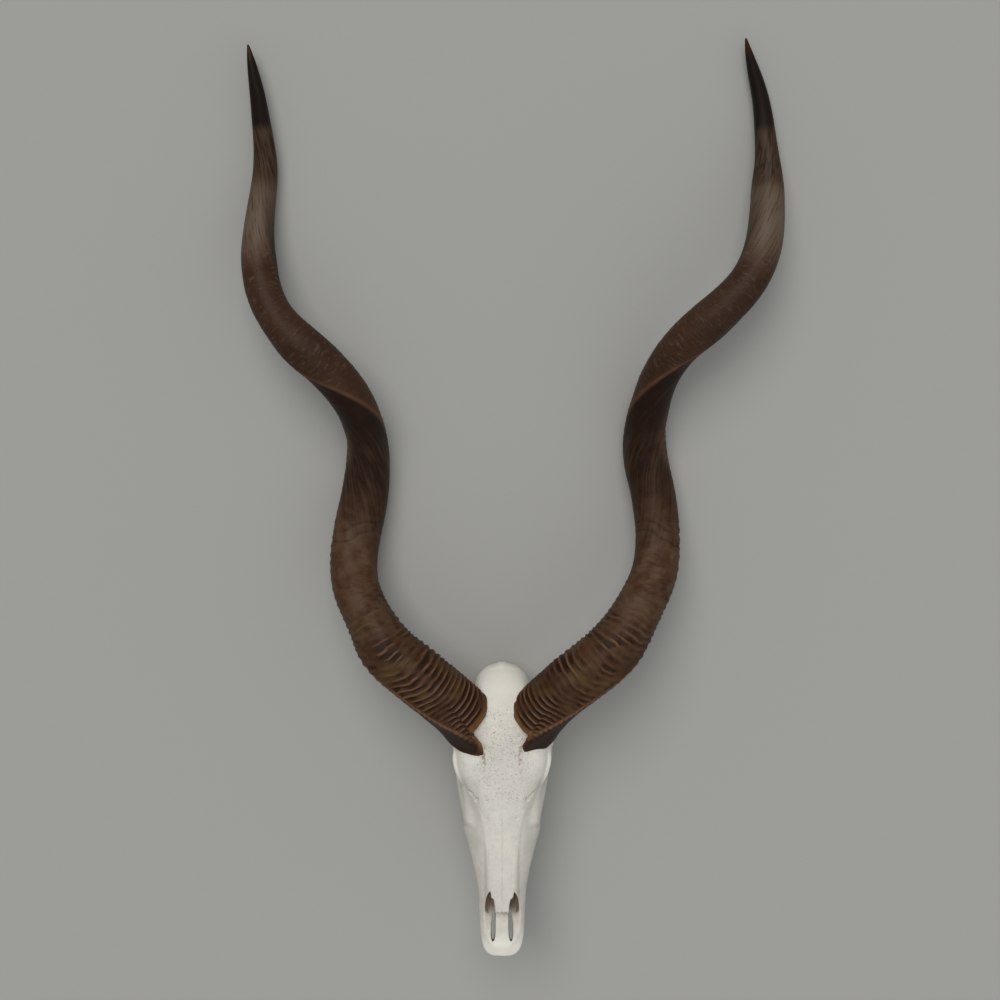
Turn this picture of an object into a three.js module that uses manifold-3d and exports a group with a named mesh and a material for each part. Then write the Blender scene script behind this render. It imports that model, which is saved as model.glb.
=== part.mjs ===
// A greater kudu skull without its lower jaw, carrying both spiral horns, as it lies on its back
// on a table: it rests on the two spurs behind the ears and on the first backward bend of each horn.
// Millimetres, +Z up. The skull is shaped in its own frame (x across, y from the nose tip backwards,
// z up from the grinding faces of the cheek teeth) and is turned into the lying pose at the end.
import * as THREE from "three";
import { mergeVertices } from "three/addons/utils/BufferGeometryUtils.js";
import Module from "manifold-3d";

const wasm = await Module();
wasm.setup();

// Lying pose: how far the nose is lifted, and how much is worn flat where the skull touches the table.
const REST_TILT_DEG = 20.65;
const WORN_FLAT = 0.8;

// Clearance between two pieces that sit in each other.
const SEAT_GAP = 0.4;

// Skull outline. Each pair is [distance behind the nose tip, value].
const SKULL_LENGTH = 412;
const CROWN_Z = [
  [0, 20], [12, 25], [30, 34], [60, 51], [90, 64], [125, 74], [160, 82], [200, 92],
  [245, 106], [285, 118], [320, 128], [350, 130], [380, 116], [400, 97], [412, 78],
];
const ROOF_HALF = [
  [0, 7], [12, 14], [30, 17], [90, 17], [160, 20], [200, 26], [245, 42], [285, 50],
  [320, 45], [350, 34], [380, 24], [400, 18], [412, 9],
];
const ROOF_DROP = [[0, 1], [60, 2], [125, 4], [185, 6], [245, 8], [350, 10], [400, 8], [412, 5]];
const SIDE_HALF = [
  [0, 11], [3, 16], [12, 24], [30, 28], [60, 29.5], [90, 31], [125, 37], [160, 46], [185, 52],
  [215, 49], [245, 52], [285, 50], [320, 44], [350, 38], [380, 33], [400, 27], [412, 15],
];
const SIDE_Z = [
  [0, 17], [30, 21], [60, 26], [90, 33], [125, 38], [160, 42], [185, 49], [245, 64],
  [300, 82], [412, 64],
];
const BASE_HALF = [
  [0, 8], [12, 18], [30, 22], [60, 24], [90, 25], [125, 31], [160, 38], [215, 42],
  [245, 36], [285, 26], [380, 24], [400, 18], [412, 9],
];
const BASE_Z = [
  [0, 14], [12, 12], [60, 15], [90, 16], [215, 17], [245, 21], [285, 30], [350, 32],
  [380, 34], [400, 39], [412, 47],
];
const SKULL_STOPS = [
  0, 3, 8, 16, 28, 44, 60, 80, 104, 125, 145, 165, 185, 202, 218, 234, 252, 270, 288, 306,
  324, 342, 360, 376, 390, 400, 407, SKULL_LENGTH,
];
const SKULL_SIDES = 20;

// Horns. Each follows a straight axis from its base to its tip, bowed outwards, and coils round it.
// Left is the side on the viewer's left when the skull is seen from above with its nose down.
// Sway is a small outward shift, and radius the horn's half width, both against the share of the axis.
const HORN_BASE = { x: 46.5, y: 335, z: 105 };
const HORNS = {
  left: {
    side: -1,
    tipX: 317,
    tipY: 1202,
    tipZ: 330,
    coil: 50,
    coilTip: 1,
    coilFall: 2.4,
    phase: -0.85,
    turns: 1.96,
    ease: 1.08,
    bow: 50,
    bowEase: 1.3,
    sway: [
      [0.04, -1], [0.1, -1], [0.14, 2], [0.18, -1], [0.24, 2], [0.34, -1.7], [0.44, 2.5],
      [0.56, -4], [0.65, 3], [0.72, -0.5], [0.82, -3], [0.91, 2.8], [1, 0],
    ],
    radius: [
      [0, 38.5], [0.1, 39.5], [0.14, 37.5], [0.2, 31], [0.25, 31.5], [0.32, 31.7], [0.37, 30],
      [0.44, 25.8], [0.5, 26.4], [0.58, 27.4], [0.65, 23.4], [0.71, 23], [0.77, 19],
      [0.83, 15.3], [0.88, 12.6], [0.94, 9], [0.975, 5.5], [1, 1.2],
    ],
  },
  right: {
    side: 1,
    tipX: 303.5,
    tipY: 1210,
    tipZ: 330,
    coil: 50,
    coilTip: 20,
    coilFall: 2.55,
    phase: -1.13,
    turns: 1.79,
    ease: 1.01,
    bow: 65,
    bowEase: 1.55,
    sway: [
      [0.03, -3], [0.07, -3], [0.14, 2.5], [0.2, -0.5], [0.26, 3], [0.36, 0.8], [0.4, -2],
      [0.48, 2], [0.59, -5], [0.69, 6], [0.8, -4], [0.87, 1], [0.93, 6.5], [1, 0],
    ],
    radius: [
      [0, 37], [0.09, 37.8], [0.14, 38], [0.2, 32.5], [0.26, 30.6], [0.32, 29.3], [0.39, 29.9],
      [0.46, 26.8], [0.55, 24.9], [0.63, 25.7], [0.7, 24], [0.76, 23.4], [0.81, 21],
      [0.86, 15], [0.91, 11.8], [0.95, 9], [0.98, 5], [1, 1.2],
    ],
  },
};
const KEEL = { height: 0.11, width: 0.5, start: 0.45, turns: 1.86, tipFade: 8 };
const RING = { pitch: 16, depth: 1.5, lastShare: 0.36 };
const PLAIN_STEP = { length: 30, shorterBy: 15, from: 0.85 };
const HORN_SIDES = 12;
// How far the lower rim of the horn reaches back towards the face, against degrees round it:
// 0 is the side away from the teeth, positive is away from the other horn.
const RIM_BACK = [
  [-180, -8], [-90, -29], [-45, -28], [0, -19], [8, -17], [18, 19], [45, 22], [65, 21],
  [90, 15], [180, -8],
];
const RIM_FADE = 0.075;
const SHEATH_START = -0.01;
// Bone core inside the horn, against the share of the axis.
const CORE_RADIUS = [[-0.075, 35], [0.03, 35], [0.1, 15]];
const CORE_STOPS = [-0.075, -0.05, -0.025, 0, 0.03, 0.06, 0.1];

// Cheek teeth from front to back: length along the jaw, width, and where the row runs.
const TEETH = [
  ["premolar_2", 12, 12], ["premolar_3", 14, 14], ["premolar_4", 13, 15],
  ["molar_1", 22, 18], ["molar_2", 26, 20], ["molar_3", 27, 19],
];
const TOOTH_ROW_Y = 121;
const TOOTH_SPACE = 0.6;
const TOOTH_ROW_X = [[121, 26.5], [160, 30.5], [200, 33], [245, 33.5]];
// Tooth crown from its root end down to the grinding face: height, and share of the full width.
const TOOTH_LEVELS = [[24, 0.82], [15, 1], [0, 0.8]];
const TOOTH_SIDES = 8;
const TOOTH_SQUARENESS = 0.6;

const BONE = new THREE.MeshStandardMaterial({ color: 0xe4e0d4, roughness: 0.75, metalness: 0 });
const HORN = new THREE.MeshStandardMaterial({ color: 0x3b2618, roughness: 0.42, metalness: 0 });
const ENAMEL = new THREE.MeshStandardMaterial({ color: 0xd9cfb4, roughness: 0.35, metalness: 0 });

// Value at x of a smooth line through [x, value] pairs.
function along(pairs, x) {
  const last = pairs.length - 1;
  if (x <= pairs[0][0]) return pairs[0][1];
  if (x >= pairs[last][0]) return pairs[last][1];
  const i = pairs.findIndex((p) => p[0] > x) - 1;
  const slope = (a, b) => (pairs[b][1] - pairs[a][1]) / (pairs[b][0] - pairs[a][0]);
  const here = slope(i, i + 1);
  const tangent = (k) => {
    if (k === 0 || k === last) return here;
    const before = slope(k - 1, k);
    const after = slope(k, k + 1);
    return before * after <= 0 ? 0 : (2 * before * after) / (before + after);
  };
  const [x0, v0] = pairs[i];
  const [x1, v1] = pairs[i + 1];
  const h = x1 - x0;
  const u = (x - x0) / h;
  return (
    v0 * (1 + 2 * u) * (1 - u) ** 2 +
    v1 * u * u * (3 - 2 * u) +
    h * u * (1 - u) * ((1 - u) * tangent(i) - u * tangent(i + 1))
  );
}

// Closed body through rings of points, each ring closed by a flat fan at the ends.
function loft(rings) {
  const sides = rings[0].length;
  const points = rings.flat();
  const index = [];
  for (let i = 0; i < rings.length - 1; i++) {
    for (let j = 0; j < sides; j++) {
      const a = i * sides + j;
      const b = i * sides + ((j + 1) % sides);
      index.push(a, b, a + sides, b, b + sides, a + sides);
    }
  }
  const middle = (ring) => ring.reduce((sum, p) => sum.add(p), new THREE.Vector3()).divideScalar(sides);
  const first = points.push(middle(rings[0])) - 1;
  const end = points.push(middle(rings[rings.length - 1])) - 1;
  const lastRow = (rings.length - 1) * sides;
  for (let j = 0; j < sides; j++) {
    const next = (j + 1) % sides;
    index.push(first, next, j, end, lastRow + j, lastRow + next);
  }
  const geometry = new THREE.BufferGeometry().setFromPoints(points);
  geometry.setIndex(index);
  return geometry;
}

// Solid of a closed geometry, turned the right way out.
function solid(geometry) {
  const bare = geometry.clone();
  bare.deleteAttribute("normal");
  bare.deleteAttribute("uv");
  const merged = mergeVertices(bare, 1e-4);
  const triVerts = new Uint32Array(merged.index.array);
  const made = (corners) =>
    new wasm.Manifold(
      new wasm.Mesh({ numProp: 3, vertProperties: merged.attributes.position.array, triVerts: corners }),
    );
  const body = made(triVerts);
  return body.volume() > 0 ? body : made(triVerts.reverse());
}

function ellipsoid(centre, radii, segments = 14, turn = [0, 0, 0]) {
  const ball = new THREE.SphereGeometry(1, segments, Math.round(segments * 0.7));
  const place = new THREE.Matrix4().compose(
    new THREE.Vector3(...centre),
    new THREE.Quaternion().setFromEuler(new THREE.Euler(...turn)),
    new THREE.Vector3(...radii),
  );
  return solid(ball.applyMatrix4(place));
}

// Bar with an oval section that changes along a smooth path.
// Each stop is [x, y, z, half width, half height].
function bar(stops, sides = 8, steps = 10) {
  const path = new THREE.CatmullRomCurve3(stops.map((s) => new THREE.Vector3(s[0], s[1], s[2])));
  const size = (column) => stops.map((s, i) => [i / (stops.length - 1), s[column]]);
  const widths = size(3);
  const heights = size(4);
  const rings = [];
  for (let i = 0; i <= steps; i++) {
    const t = i / steps;
    const at = path.getPoint(t);
    const ahead = path.getTangent(t);
    const across = new THREE.Vector3(1, 0, 0).addScaledVector(ahead, -ahead.x);
    if (across.length() < 0.3) across.set(0, 1, 0).addScaledVector(ahead, -ahead.y);
    across.normalize();
    const up = new THREE.Vector3().crossVectors(ahead, across);
    rings.push(
      Array.from({ length: sides }, (_, j) => {
        const angle = (2 * Math.PI * j) / sides;
        return at
          .clone()
          .addScaledVector(across, Math.cos(angle) * along(widths, t))
          .addScaledVector(up, Math.sin(angle) * along(heights, t));
      }),
    );
  }
  return solid(loft(rings));
}

const mirrored = (make) => make(-1).add(make(1));

// Skull section at a distance behind the nose tip: roof, side and base corners joined by a round line.
function skullRing(y, sides) {
  const roofZ = along(CROWN_Z, y) - along(ROOF_DROP, y);
  const half = [
    [along(ROOF_HALF, y), roofZ],
    [along(SIDE_HALF, y), along(SIDE_Z, y)],
    [along(BASE_HALF, y), along(BASE_Z, y)],
  ];
  const corners = [
    [0, along(CROWN_Z, y)],
    ...half,
    [0, along(BASE_Z, y)],
    ...half.map(([x, z]) => [-x, z]).reverse(),
  ];
  const outline = new THREE.CatmullRomCurve3(
    corners.map(([x, z]) => new THREE.Vector3(x, y, z)),
    true,
    "centripetal",
  );
  return Array.from({ length: sides }, (_, j) => outline.getPoint(j / sides));
}

function braincaseAndFace() {
  return solid(loft(SKULL_STOPS.map((y) => skullRing(y, SKULL_SIDES))));
}

function eyeRims() {
  return mirrored((s) => ellipsoid([s * 43, 283, 88], [26, 36, 33], 12, [0, 0, -s * 0.12]));
}

function eyeSockets() {
  return mirrored((s) => ellipsoid([s * 66, 279, 89], [40, 26, 25], 12, [0, 0, -s * 0.25]));
}

function cheekArches() {
  return mirrored((s) =>
    bar([
      [s * 40, 190, 48, 9, 14],
      [s * 54, 235, 56, 9, 13],
      [s * 61, 270, 57, 6, 9],
      [s * 62, 310, 60, 4.5, 8],
      [s * 55, 340, 66, 5, 8],
      [s * 33, 364, 66, 8, 9],
    ], 6, 10),
  );
}

// Ear capsules, the two spurs behind them that the skull rests on, and the neck joints.
function earRegion() {
  const capsule = mirrored((s) => ellipsoid([s * 22, 350, 27], [11, 15, 13], 8));
  const spur = mirrored((s) =>
    bar([
      [s * 24, 380, 52, 9, 9],
      [s * 27, 383, 30, 7, 7],
      [s * 28, 382, 10, 4.5, 5],
      [s * 28, 380, -1.5, 3.5, 4],
    ], 6, 6),
  );
  const neckJoint = mirrored((s) => ellipsoid([s * 17, 391, 44], [11, 14, 16], 8, [0.3, 0, 0]));
  return capsule.add(spur).add(neckJoint);
}

function palateWings() {
  return mirrored((s) =>
    bar([
      [s * 17, 240, 28, 3, 9],
      [s * 15, 270, 25, 2.5, 10],
      [s * 14, 300, 24, 2.5, 8],
      [s * 15, 322, 31, 3, 6],
    ], 6, 5),
  );
}

// Nose passage with its open mouth above the front bones, and the two slits through those bones.
function noseOpening() {
  const channel = bar([
    [0, 6, 40, 9, 12],
    [0, 28, 43, 17, 18],
    [0, 55, 46, 20, 17],
    [0, 80, 44, 19, 15],
    [0, 120, 46, 17, 15],
    [0, 165, 50, 15, 15],
  ], 12, 10);
  const mouth = bar([
    [0, 0, 47, 7, 16],
    [0, 22, 53, 15, 24],
    [0, 48, 66, 19, 27],
    [0, 63, 78, 18, 27],
  ], 10, 7);
  const slits = mirrored((s) =>
    bar([
      [s * 12.5, 16, 16, 2.2, 22],
      [s * 12.5, 36, 16, 3.2, 22],
      [s * 11.5, 62, 16, 2.4, 22],
    ], 6, 5),
  );
  return channel.add(mouth).add(slits);
}

function undersideHollows() {
  const vault = ellipsoid([0, 165, 12], [21, 92, 15], 12);
  const throat = bar([
    [0, 226, 34, 11, 9],
    [0, 262, 33, 11.5, 13],
    [0, 300, 22, 11, 14],
    [0, 335, 12, 12, 16],
  ], 8, 7);
  const spineHole = bar([
    [0, 370, 58, 15, 13],
    [0, 395, 55, 15, 14],
    [0, 425, 50, 16, 15],
  ], 10, 4);
  const gapUnderHorns = mirrored((s) => ellipsoid([s * 54, 336, 74], [12, 24, 17], 10));
  return vault.add(throat).add(spineHole).add(gapUnderHorns);
}

// Directions square to a horn's axis: away from the other horn, and up from the face.
function hornAxes(horn) {
  const { side } = horn;
  const ahead = new THREE.Vector3(
    side * (horn.tipX - HORN_BASE.x),
    horn.tipY - HORN_BASE.y,
    horn.tipZ - HORN_BASE.z,
  ).normalize();
  const outward = new THREE.Vector3(side, 0, 0).addScaledVector(ahead, -side * ahead.x).normalize();
  const upward = new THREE.Vector3().crossVectors(outward, ahead).multiplyScalar(side).normalize();
  return { outward, upward };
}

// Horn centre line at a share t of the way from base to tip.
function hornPoint(horn, t) {
  const base = new THREE.Vector3(horn.side * HORN_BASE.x, HORN_BASE.y, HORN_BASE.z);
  const tip = new THREE.Vector3(horn.side * horn.tipX, horn.tipY, horn.tipZ);
  const { outward, upward } = hornAxes(horn);
  const coilAt = (u) => {
    const angle = horn.phase + 2 * Math.PI * horn.turns * Math.sign(u) * Math.abs(u) ** horn.ease;
    const radius = horn.coil + (horn.coilTip - horn.coil) * Math.max(u, 0) ** horn.coilFall;
    return upward
      .clone()
      .multiplyScalar(radius * Math.cos(angle))
      .addScaledVector(outward, radius * Math.sin(angle));
  };
  const point = base
    .lerp(tip, t)
    .add(coilAt(t))
    .addScaledVector(coilAt(0), -((1 - t) ** 3))
    .addScaledVector(coilAt(1), -(t ** 3))
    .addScaledVector(outward, horn.bow * Math.sin(Math.PI * Math.max(t, 0) ** horn.bowEase));
  point.x += horn.side * along(horn.sway, t);
  return point;
}

const keelTurn = (t) => KEEL.start + 2 * Math.PI * KEEL.turns * t;

// Frame that turns with the horn, so that the keel stays on one line of it.
function hornFrame(horn, t) {
  const step = 0.002;
  const at = hornPoint(horn, t);
  const ahead = hornPoint(horn, t + step).sub(hornPoint(horn, t - step)).normalize();
  const { outward, upward } = hornAxes(horn);
  const keelward = upward
    .clone()
    .multiplyScalar(Math.cos(keelTurn(t)))
    .addScaledVector(outward, Math.sin(keelTurn(t)));
  keelward.addScaledVector(ahead, -keelward.dot(ahead)).normalize();
  const beside = new THREE.Vector3().crossVectors(ahead, keelward);
  return { at, ahead, keelward, beside };
}

// Angle brought between minus and plus half a turn.
const wrapped = (angle) => Math.atan2(Math.sin(angle), Math.cos(angle));

// Ring of the horn's outside: round with a keel, and pulled back to the slanting rim near the base.
function hornRing(horn, t, swell) {
  const { at, ahead, keelward, beside } = hornFrame(horn, t);
  const radius = along(horn.radius, t) + swell;
  const rimShare = Math.max(0, 1 - (t - SHEATH_START) / RIM_FADE);
  return Array.from({ length: HORN_SIDES }, (_, j) => {
    const angle = wrapped((2 * Math.PI * j) / HORN_SIDES);
    const crest = Math.exp(-((angle / KEEL.width) ** 2)) * Math.min(1, (1 - t) * KEEL.tipFade);
    const reach = radius * (1 + KEEL.height * crest);
    const fromTop = THREE.MathUtils.radToDeg(wrapped(keelTurn(t) + horn.side * angle));
    return at
      .clone()
      .addScaledVector(keelward, Math.cos(angle) * reach)
      .addScaledVector(beside, Math.sin(angle) * reach)
      .addScaledVector(ahead, -rimShare * along(RIM_BACK, fromTop));
  });
}

// Shares of the axis at which the ringed lower part has a crest or a groove, then plain steps to the tip.
function hornStops(horn) {
  const stops = [];
  const step = 0.01;
  let t = SHEATH_START;
  while (t < 1) {
    stops.push(t);
    const speed = hornPoint(horn, t + step).distanceTo(hornPoint(horn, t)) / step;
    const nearTip = Math.max(0, (t - PLAIN_STEP.from) / (1 - PLAIN_STEP.from));
    const plain = PLAIN_STEP.length - PLAIN_STEP.shorterBy * nearTip;
    t += (t < RING.lastShare ? RING.pitch / 2 : plain) / speed;
  }
  stops.push(1);
  return stops;
}

function sheathOutside(horn) {
  const rings = hornStops(horn).map((t, i) => {
    const fade = Math.sqrt(Math.max(0, 1 - Math.max(t, 0) / RING.lastShare));
    const swell = (i % 2 ? 0.5 : -0.5) * RING.depth * fade;
    return hornRing(horn, t, swell);
  });
  return solid(loft(rings));
}

// Bone core of a horn, or with extra the socket that it sits in.
function coreBody(horn, extra) {
  const rings = CORE_STOPS.map((t, i) => {
    const end = i === CORE_STOPS.length - 1 ? extra / 1000 : 0;
    const { at, keelward, beside } = hornFrame(horn, t + end);
    const radius = along(CORE_RADIUS, t) + extra;
    return Array.from({ length: HORN_SIDES }, (_, j) => {
      const angle = (2 * Math.PI * j) / HORN_SIDES;
      return at
        .clone()
        .addScaledVector(keelward, Math.cos(angle) * radius)
        .addScaledVector(beside, Math.sin(angle) * radius);
    });
  });
  return solid(loft(rings));
}

// Tooth crown: a rounded block that narrows to its grinding face.
function tooth(side, middleY, length, width, extra) {
  const x = side * along(TOOTH_ROW_X, middleY);
  const square = (v) => Math.sign(v) * Math.abs(v) ** TOOTH_SQUARENESS;
  const rings = TOOTH_LEVELS.map(([z, scale], level) =>
    Array.from({ length: TOOTH_SIDES }, (_, j) => {
      const angle = (2 * Math.PI * j) / TOOTH_SIDES;
      return new THREE.Vector3(
        x + square(Math.cos(angle)) * ((width / 2) * scale + extra),
        middleY + square(Math.sin(angle)) * ((length / 2) * (0.5 + scale / 2) + extra),
        z + (level === 0 ? extra : 0),
      );
    }),
  );
  return solid(loft(rings));
}

function toothRow(side, extra) {
  let y = TOOTH_ROW_Y;
  return TEETH.map(([name, length, width]) => {
    const middle = y + length / 2;
    y += length + TOOTH_SPACE + 2 * SEAT_GAP;
    return [name, tooth(side, middle, length, width, extra)];
  });
}

const join = (solids) => solids.reduce((sum, s) => sum.add(s));

// The biggest body of a cut, without the slivers beside it.
const biggest = (cut) => cut.decompose().reduce((a, b) => (a.volume() > b.volume() ? a : b));

function skull() {
  const cores = join(Object.values(HORNS).map((horn) => coreBody(horn, 0)));
  const sockets = join([-1, 1].flatMap((side) => toothRow(side, SEAT_GAP).map(([, body]) => body)));
  return join([braincaseAndFace(), eyeRims(), cheekArches(), earRegion(), palateWings()])
    .subtract(undersideHollows())
    .subtract(eyeSockets())
    .add(cores)
    .subtract(noseOpening())
    .subtract(sockets);
}

function geometryOf(body) {
  const { vertProperties, triVerts, numProp } = body.getMesh();
  const count = vertProperties.length / numProp;
  const points = new Float32Array(count * 3);
  for (let i = 0; i < count; i++) {
    points.set(vertProperties.subarray(i * numProp, i * numProp + 3), 3 * i);
  }
  const geometry = new THREE.BufferGeometry();
  geometry.setAttribute("position", new THREE.BufferAttribute(points, 3));
  geometry.setIndex(new THREE.BufferAttribute(triVerts, 1));
  return geometry;
}

// Every piece in the skull's own frame, with its material.
const pieces = [];
const bone = skull();
pieces.push(["skull", bone, BONE]);
for (const [name, horn] of Object.entries(HORNS)) {
  const sheath = sheathOutside(horn).subtract(coreBody(horn, SEAT_GAP)).subtract(bone);
  pieces.push([`horn_${name}`, biggest(sheath), HORN]);
}
for (const [name, side] of [["left", -1], ["right", 1]]) {
  for (const [toothName, body] of toothRow(side, 0)) {
    pieces.push([`${toothName}_${name}`, body, ENAMEL]);
  }
}

// Laid down: the nose is lifted, and what would reach below the table top is worn flat.
const tilt = new THREE.Matrix4().makeRotationX(-THREE.MathUtils.degToRad(REST_TILT_DEG));
const extent = new THREE.Box3();
const laid = pieces.map(([name, body, material]) => {
  const geometry = geometryOf(body).applyMatrix4(tilt);
  extent.union(new THREE.Box3().setFromBufferAttribute(geometry.attributes.position));
  return [name, geometry, material];
});
const centre = extent.getCenter(new THREE.Vector3());
const tableZ = extent.min.z + WORN_FLAT;
const underTable = solid(new THREE.BoxGeometry(2000, 2000, 100).translate(0, 0, -50));

const kuduSkull = new THREE.Group();
for (const [name, geometry, material] of laid) {
  geometry.translate(-centre.x, -centre.y, -tableZ);
  const mesh = new THREE.Mesh(geometryOf(solid(geometry).subtract(underTable)), material);
  mesh.name = name;
  kuduSkull.add(mesh);
}

export default kuduSkull;
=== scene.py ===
"""A greater kudu skull with both spiral horns, lying on its underside on a pale floor.

Shapes are worked out in millimetres in the skull's own frame: x across, y from the nose tip
backwards, z up from the grinding faces of the cheek teeth. lay_down() turns them into the lying
pose, in metres.
"""

import math

import bpy
import numpy as np
from mathutils import Matrix, Vector


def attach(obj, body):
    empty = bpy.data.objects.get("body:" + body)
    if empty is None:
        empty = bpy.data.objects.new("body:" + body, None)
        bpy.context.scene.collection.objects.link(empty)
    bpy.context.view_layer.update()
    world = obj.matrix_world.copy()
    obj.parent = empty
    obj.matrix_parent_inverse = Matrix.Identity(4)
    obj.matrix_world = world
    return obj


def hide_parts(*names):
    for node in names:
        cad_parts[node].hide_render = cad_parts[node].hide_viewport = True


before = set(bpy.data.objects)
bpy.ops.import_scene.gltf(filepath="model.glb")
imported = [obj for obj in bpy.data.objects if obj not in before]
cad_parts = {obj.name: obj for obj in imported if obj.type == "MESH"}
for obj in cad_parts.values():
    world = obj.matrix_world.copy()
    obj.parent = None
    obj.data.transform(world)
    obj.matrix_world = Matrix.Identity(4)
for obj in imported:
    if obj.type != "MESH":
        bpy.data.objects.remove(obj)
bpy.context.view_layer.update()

NOSE_LIFT = math.radians(20.65)
MM = 0.001

# Skull outline. Each pair is [distance behind the nose tip, value].
CROWN_Z = [
    [0, 20], [12, 25], [30, 34], [60, 51], [90, 64], [125, 74], [160, 82], [200, 92],
    [245, 106], [285, 118], [320, 128], [350, 130], [380, 116], [400, 97], [412, 78],
]
ROOF_HALF = [
    [0, 7], [12, 14], [30, 16.5], [90, 16], [125, 16.8], [160, 19.5], [200, 27], [245, 44], [285, 51],
    [320, 45], [350, 36], [380, 29], [398, 21], [407, 12], [412, 3],
]
ROOF_DROP = [[0, 1], [60, 2], [125, 4], [185, 6], [245, 8], [350, 10], [400, 8], [412, 5]]
SIDE_HALF = [
    [0, 13], [3, 19], [12, 25.5], [30, 29.5], [60, 31.2], [90, 32.4], [125, 38], [160, 46.5], [185, 52],
    [215, 49], [245, 52], [285, 50], [320, 44], [350, 39], [380, 37], [396, 31], [406, 21], [412, 6],
]
SIDE_Z = [
    [0, 17], [30, 21], [60, 26], [90, 33], [125, 38], [160, 42], [185, 49], [245, 64],
    [300, 82], [412, 64],
]
BASE_HALF = [
    [0, 8], [12, 18], [30, 22], [60, 24], [90, 25], [125, 31], [160, 38], [215, 42],
    [245, 36], [285, 26], [380, 24], [400, 17], [412, 4],
]
BASE_Z = [
    [0, 14], [12, 12], [60, 15], [90, 16], [215, 17], [245, 21], [285, 30], [350, 32],
    [380, 34], [400, 39], [412, 47],
]
SKULL_LENGTH = 412

# Horns: a straight axis from base to tip, bowed outwards, with a coil round it.
HORN_BASE = {"x": 46.5, "y": 335, "z": 105}
HORNS = {
    "left": {
        "side": -1, "tip": (317, 1202, 330), "coil": 50, "coil_tip": 1, "coil_fall": 2.4,
        "phase": -0.85, "turns": 1.96, "ease": 1.08, "bow": 50, "bow_ease": 1.3,
        "sway": [
            [0.04, -1], [0.1, -1], [0.14, 2], [0.18, -1], [0.24, 2], [0.34, -2.6], [0.44, 2.5],
            [0.56, -4], [0.65, 3], [0.72, -0.5], [0.82, -3], [0.91, 2.8], [1, 0],
        ],
        "radius": [
            [0, 38.5], [0.1, 38.6], [0.14, 36.6], [0.2, 31], [0.25, 31.5], [0.32, 32.3],
            [0.37, 30.6], [0.44, 25.8], [0.5, 26.4], [0.58, 27.4], [0.65, 23.4], [0.71, 23],
            [0.77, 19], [0.83, 15.3], [0.88, 12.6], [0.94, 9], [0.975, 5.5], [1, 1.2],
        ],
    },
    "right": {
        "side": 1, "tip": (303.5, 1210, 330), "coil": 50, "coil_tip": 20, "coil_fall": 2.55,
        "phase": -1.13, "turns": 1.79, "ease": 1.01, "bow": 65, "bow_ease": 1.55,
        "sway": [
            [0.03, -3], [0.07, -3], [0.14, 2.5], [0.2, -0.5], [0.26, 3], [0.36, 0.8], [0.4, -2],
            [0.48, 2], [0.59, -5], [0.69, 6], [0.8, -4], [0.87, 1], [0.93, 6.5], [1, 0],
        ],
        "radius": [
            [0, 37], [0.09, 37.2], [0.14, 36.6], [0.2, 32], [0.26, 30.4], [0.32, 29.5],
            [0.39, 29.7], [0.46, 26], [0.55, 24.2], [0.63, 25.7], [0.7, 24], [0.76, 23.4],
            [0.81, 21], [0.86, 15], [0.91, 11.8], [0.95, 9], [0.98, 5], [1, 1.2],
        ],
    },
}
# Degrees that the keel has turned from the top of the horn, away from the other horn.
KEEL_TURN = {
    "left": [
        [-0.08, -20], [0, -2], [0.03, 15], [0.06, 36], [0.1, 52], [0.14, 72], [0.2, 115],
        [0.3, 185], [0.45, 282], [0.52, 345], [0.6, 440], [0.8, 600], [1, 760],
    ],
    "right": [
        [-0.08, -28], [0, -9], [0.03, 8], [0.06, 32], [0.1, 54], [0.14, 70], [0.2, 112],
        [0.3, 185], [0.46, 275], [0.54, 345], [0.63, 440], [0.8, 590], [1, 750],
    ],
}
# How far the rim reaches towards the face, against degrees from the top of the horn, and how
# many degrees it leans outwards there: a notch over the keel, then a tongue over the brow.
RIM_BACK = [
    [-180, -8], [-90, -29], [-45, -28], [-18, -28], [-12, -27], [-8, -20], [-4.5, -8], [-1.5, 2],
    [1.5, 12], [7, 21], [15, 24.5], [30, 21], [45, 14], [60, 7], [75, 1], [90, -2], [180, -8],
]
RIM_LEAN = [
    [-180, 0], [-25, 0], [-10, 6], [-7, 6], [-4.5, -1.5], [-2, -7], [1, -6], [6, -4], [15, -2],
    [30, 0], [180, 0],
]
# Distance from one growth ring to the next.
RING_PITCH = [[0, 6.8], [0.06, 6.8], [0.1, 9], [0.2, 9.5], [0.35, 12], [0.5, 10], [1, 9]]
# Strength of the growth rings and of the fine wrinkles along the horn.
RING_STRENGTH = [
    (0, 0.8), (0.03, 1), (0.1, 0.95), (0.15, 0.85), (0.2, 0.6), (0.25, 0.45), (0.34, 0.25),
    (0.44, 0.15), (0.58, 0.12), (0.7, 0.03), (1, 0),
]
WRINKLE_STRENGTH = [
    (0, 0.35), (0.12, 0.6), (0.2, 0.8), (0.35, 0.8), (0.6, 0.7), (0.74, 0.35), (0.8, 0.05), (1, 0),
]
# Where the sheath starts on the axis, and over which share of it the slant of the rim dies away.
SHEATH_START = -0.01
RIM_FADE = 0.075
# Half widths of the hollow in the sheath and of the bone core in it, against the share of the axis.
SOCKET_END = 0.1
SOCKET_RADIUS = [[-0.075, 35.4], [0.03, 35.4], [SOCKET_END, 15.4]]
CORE_RADIUS = [[-0.075, 35], [0.03, 35], [0.06, 26]]

COARSER = 1
HORN_SIDES = 120


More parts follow.
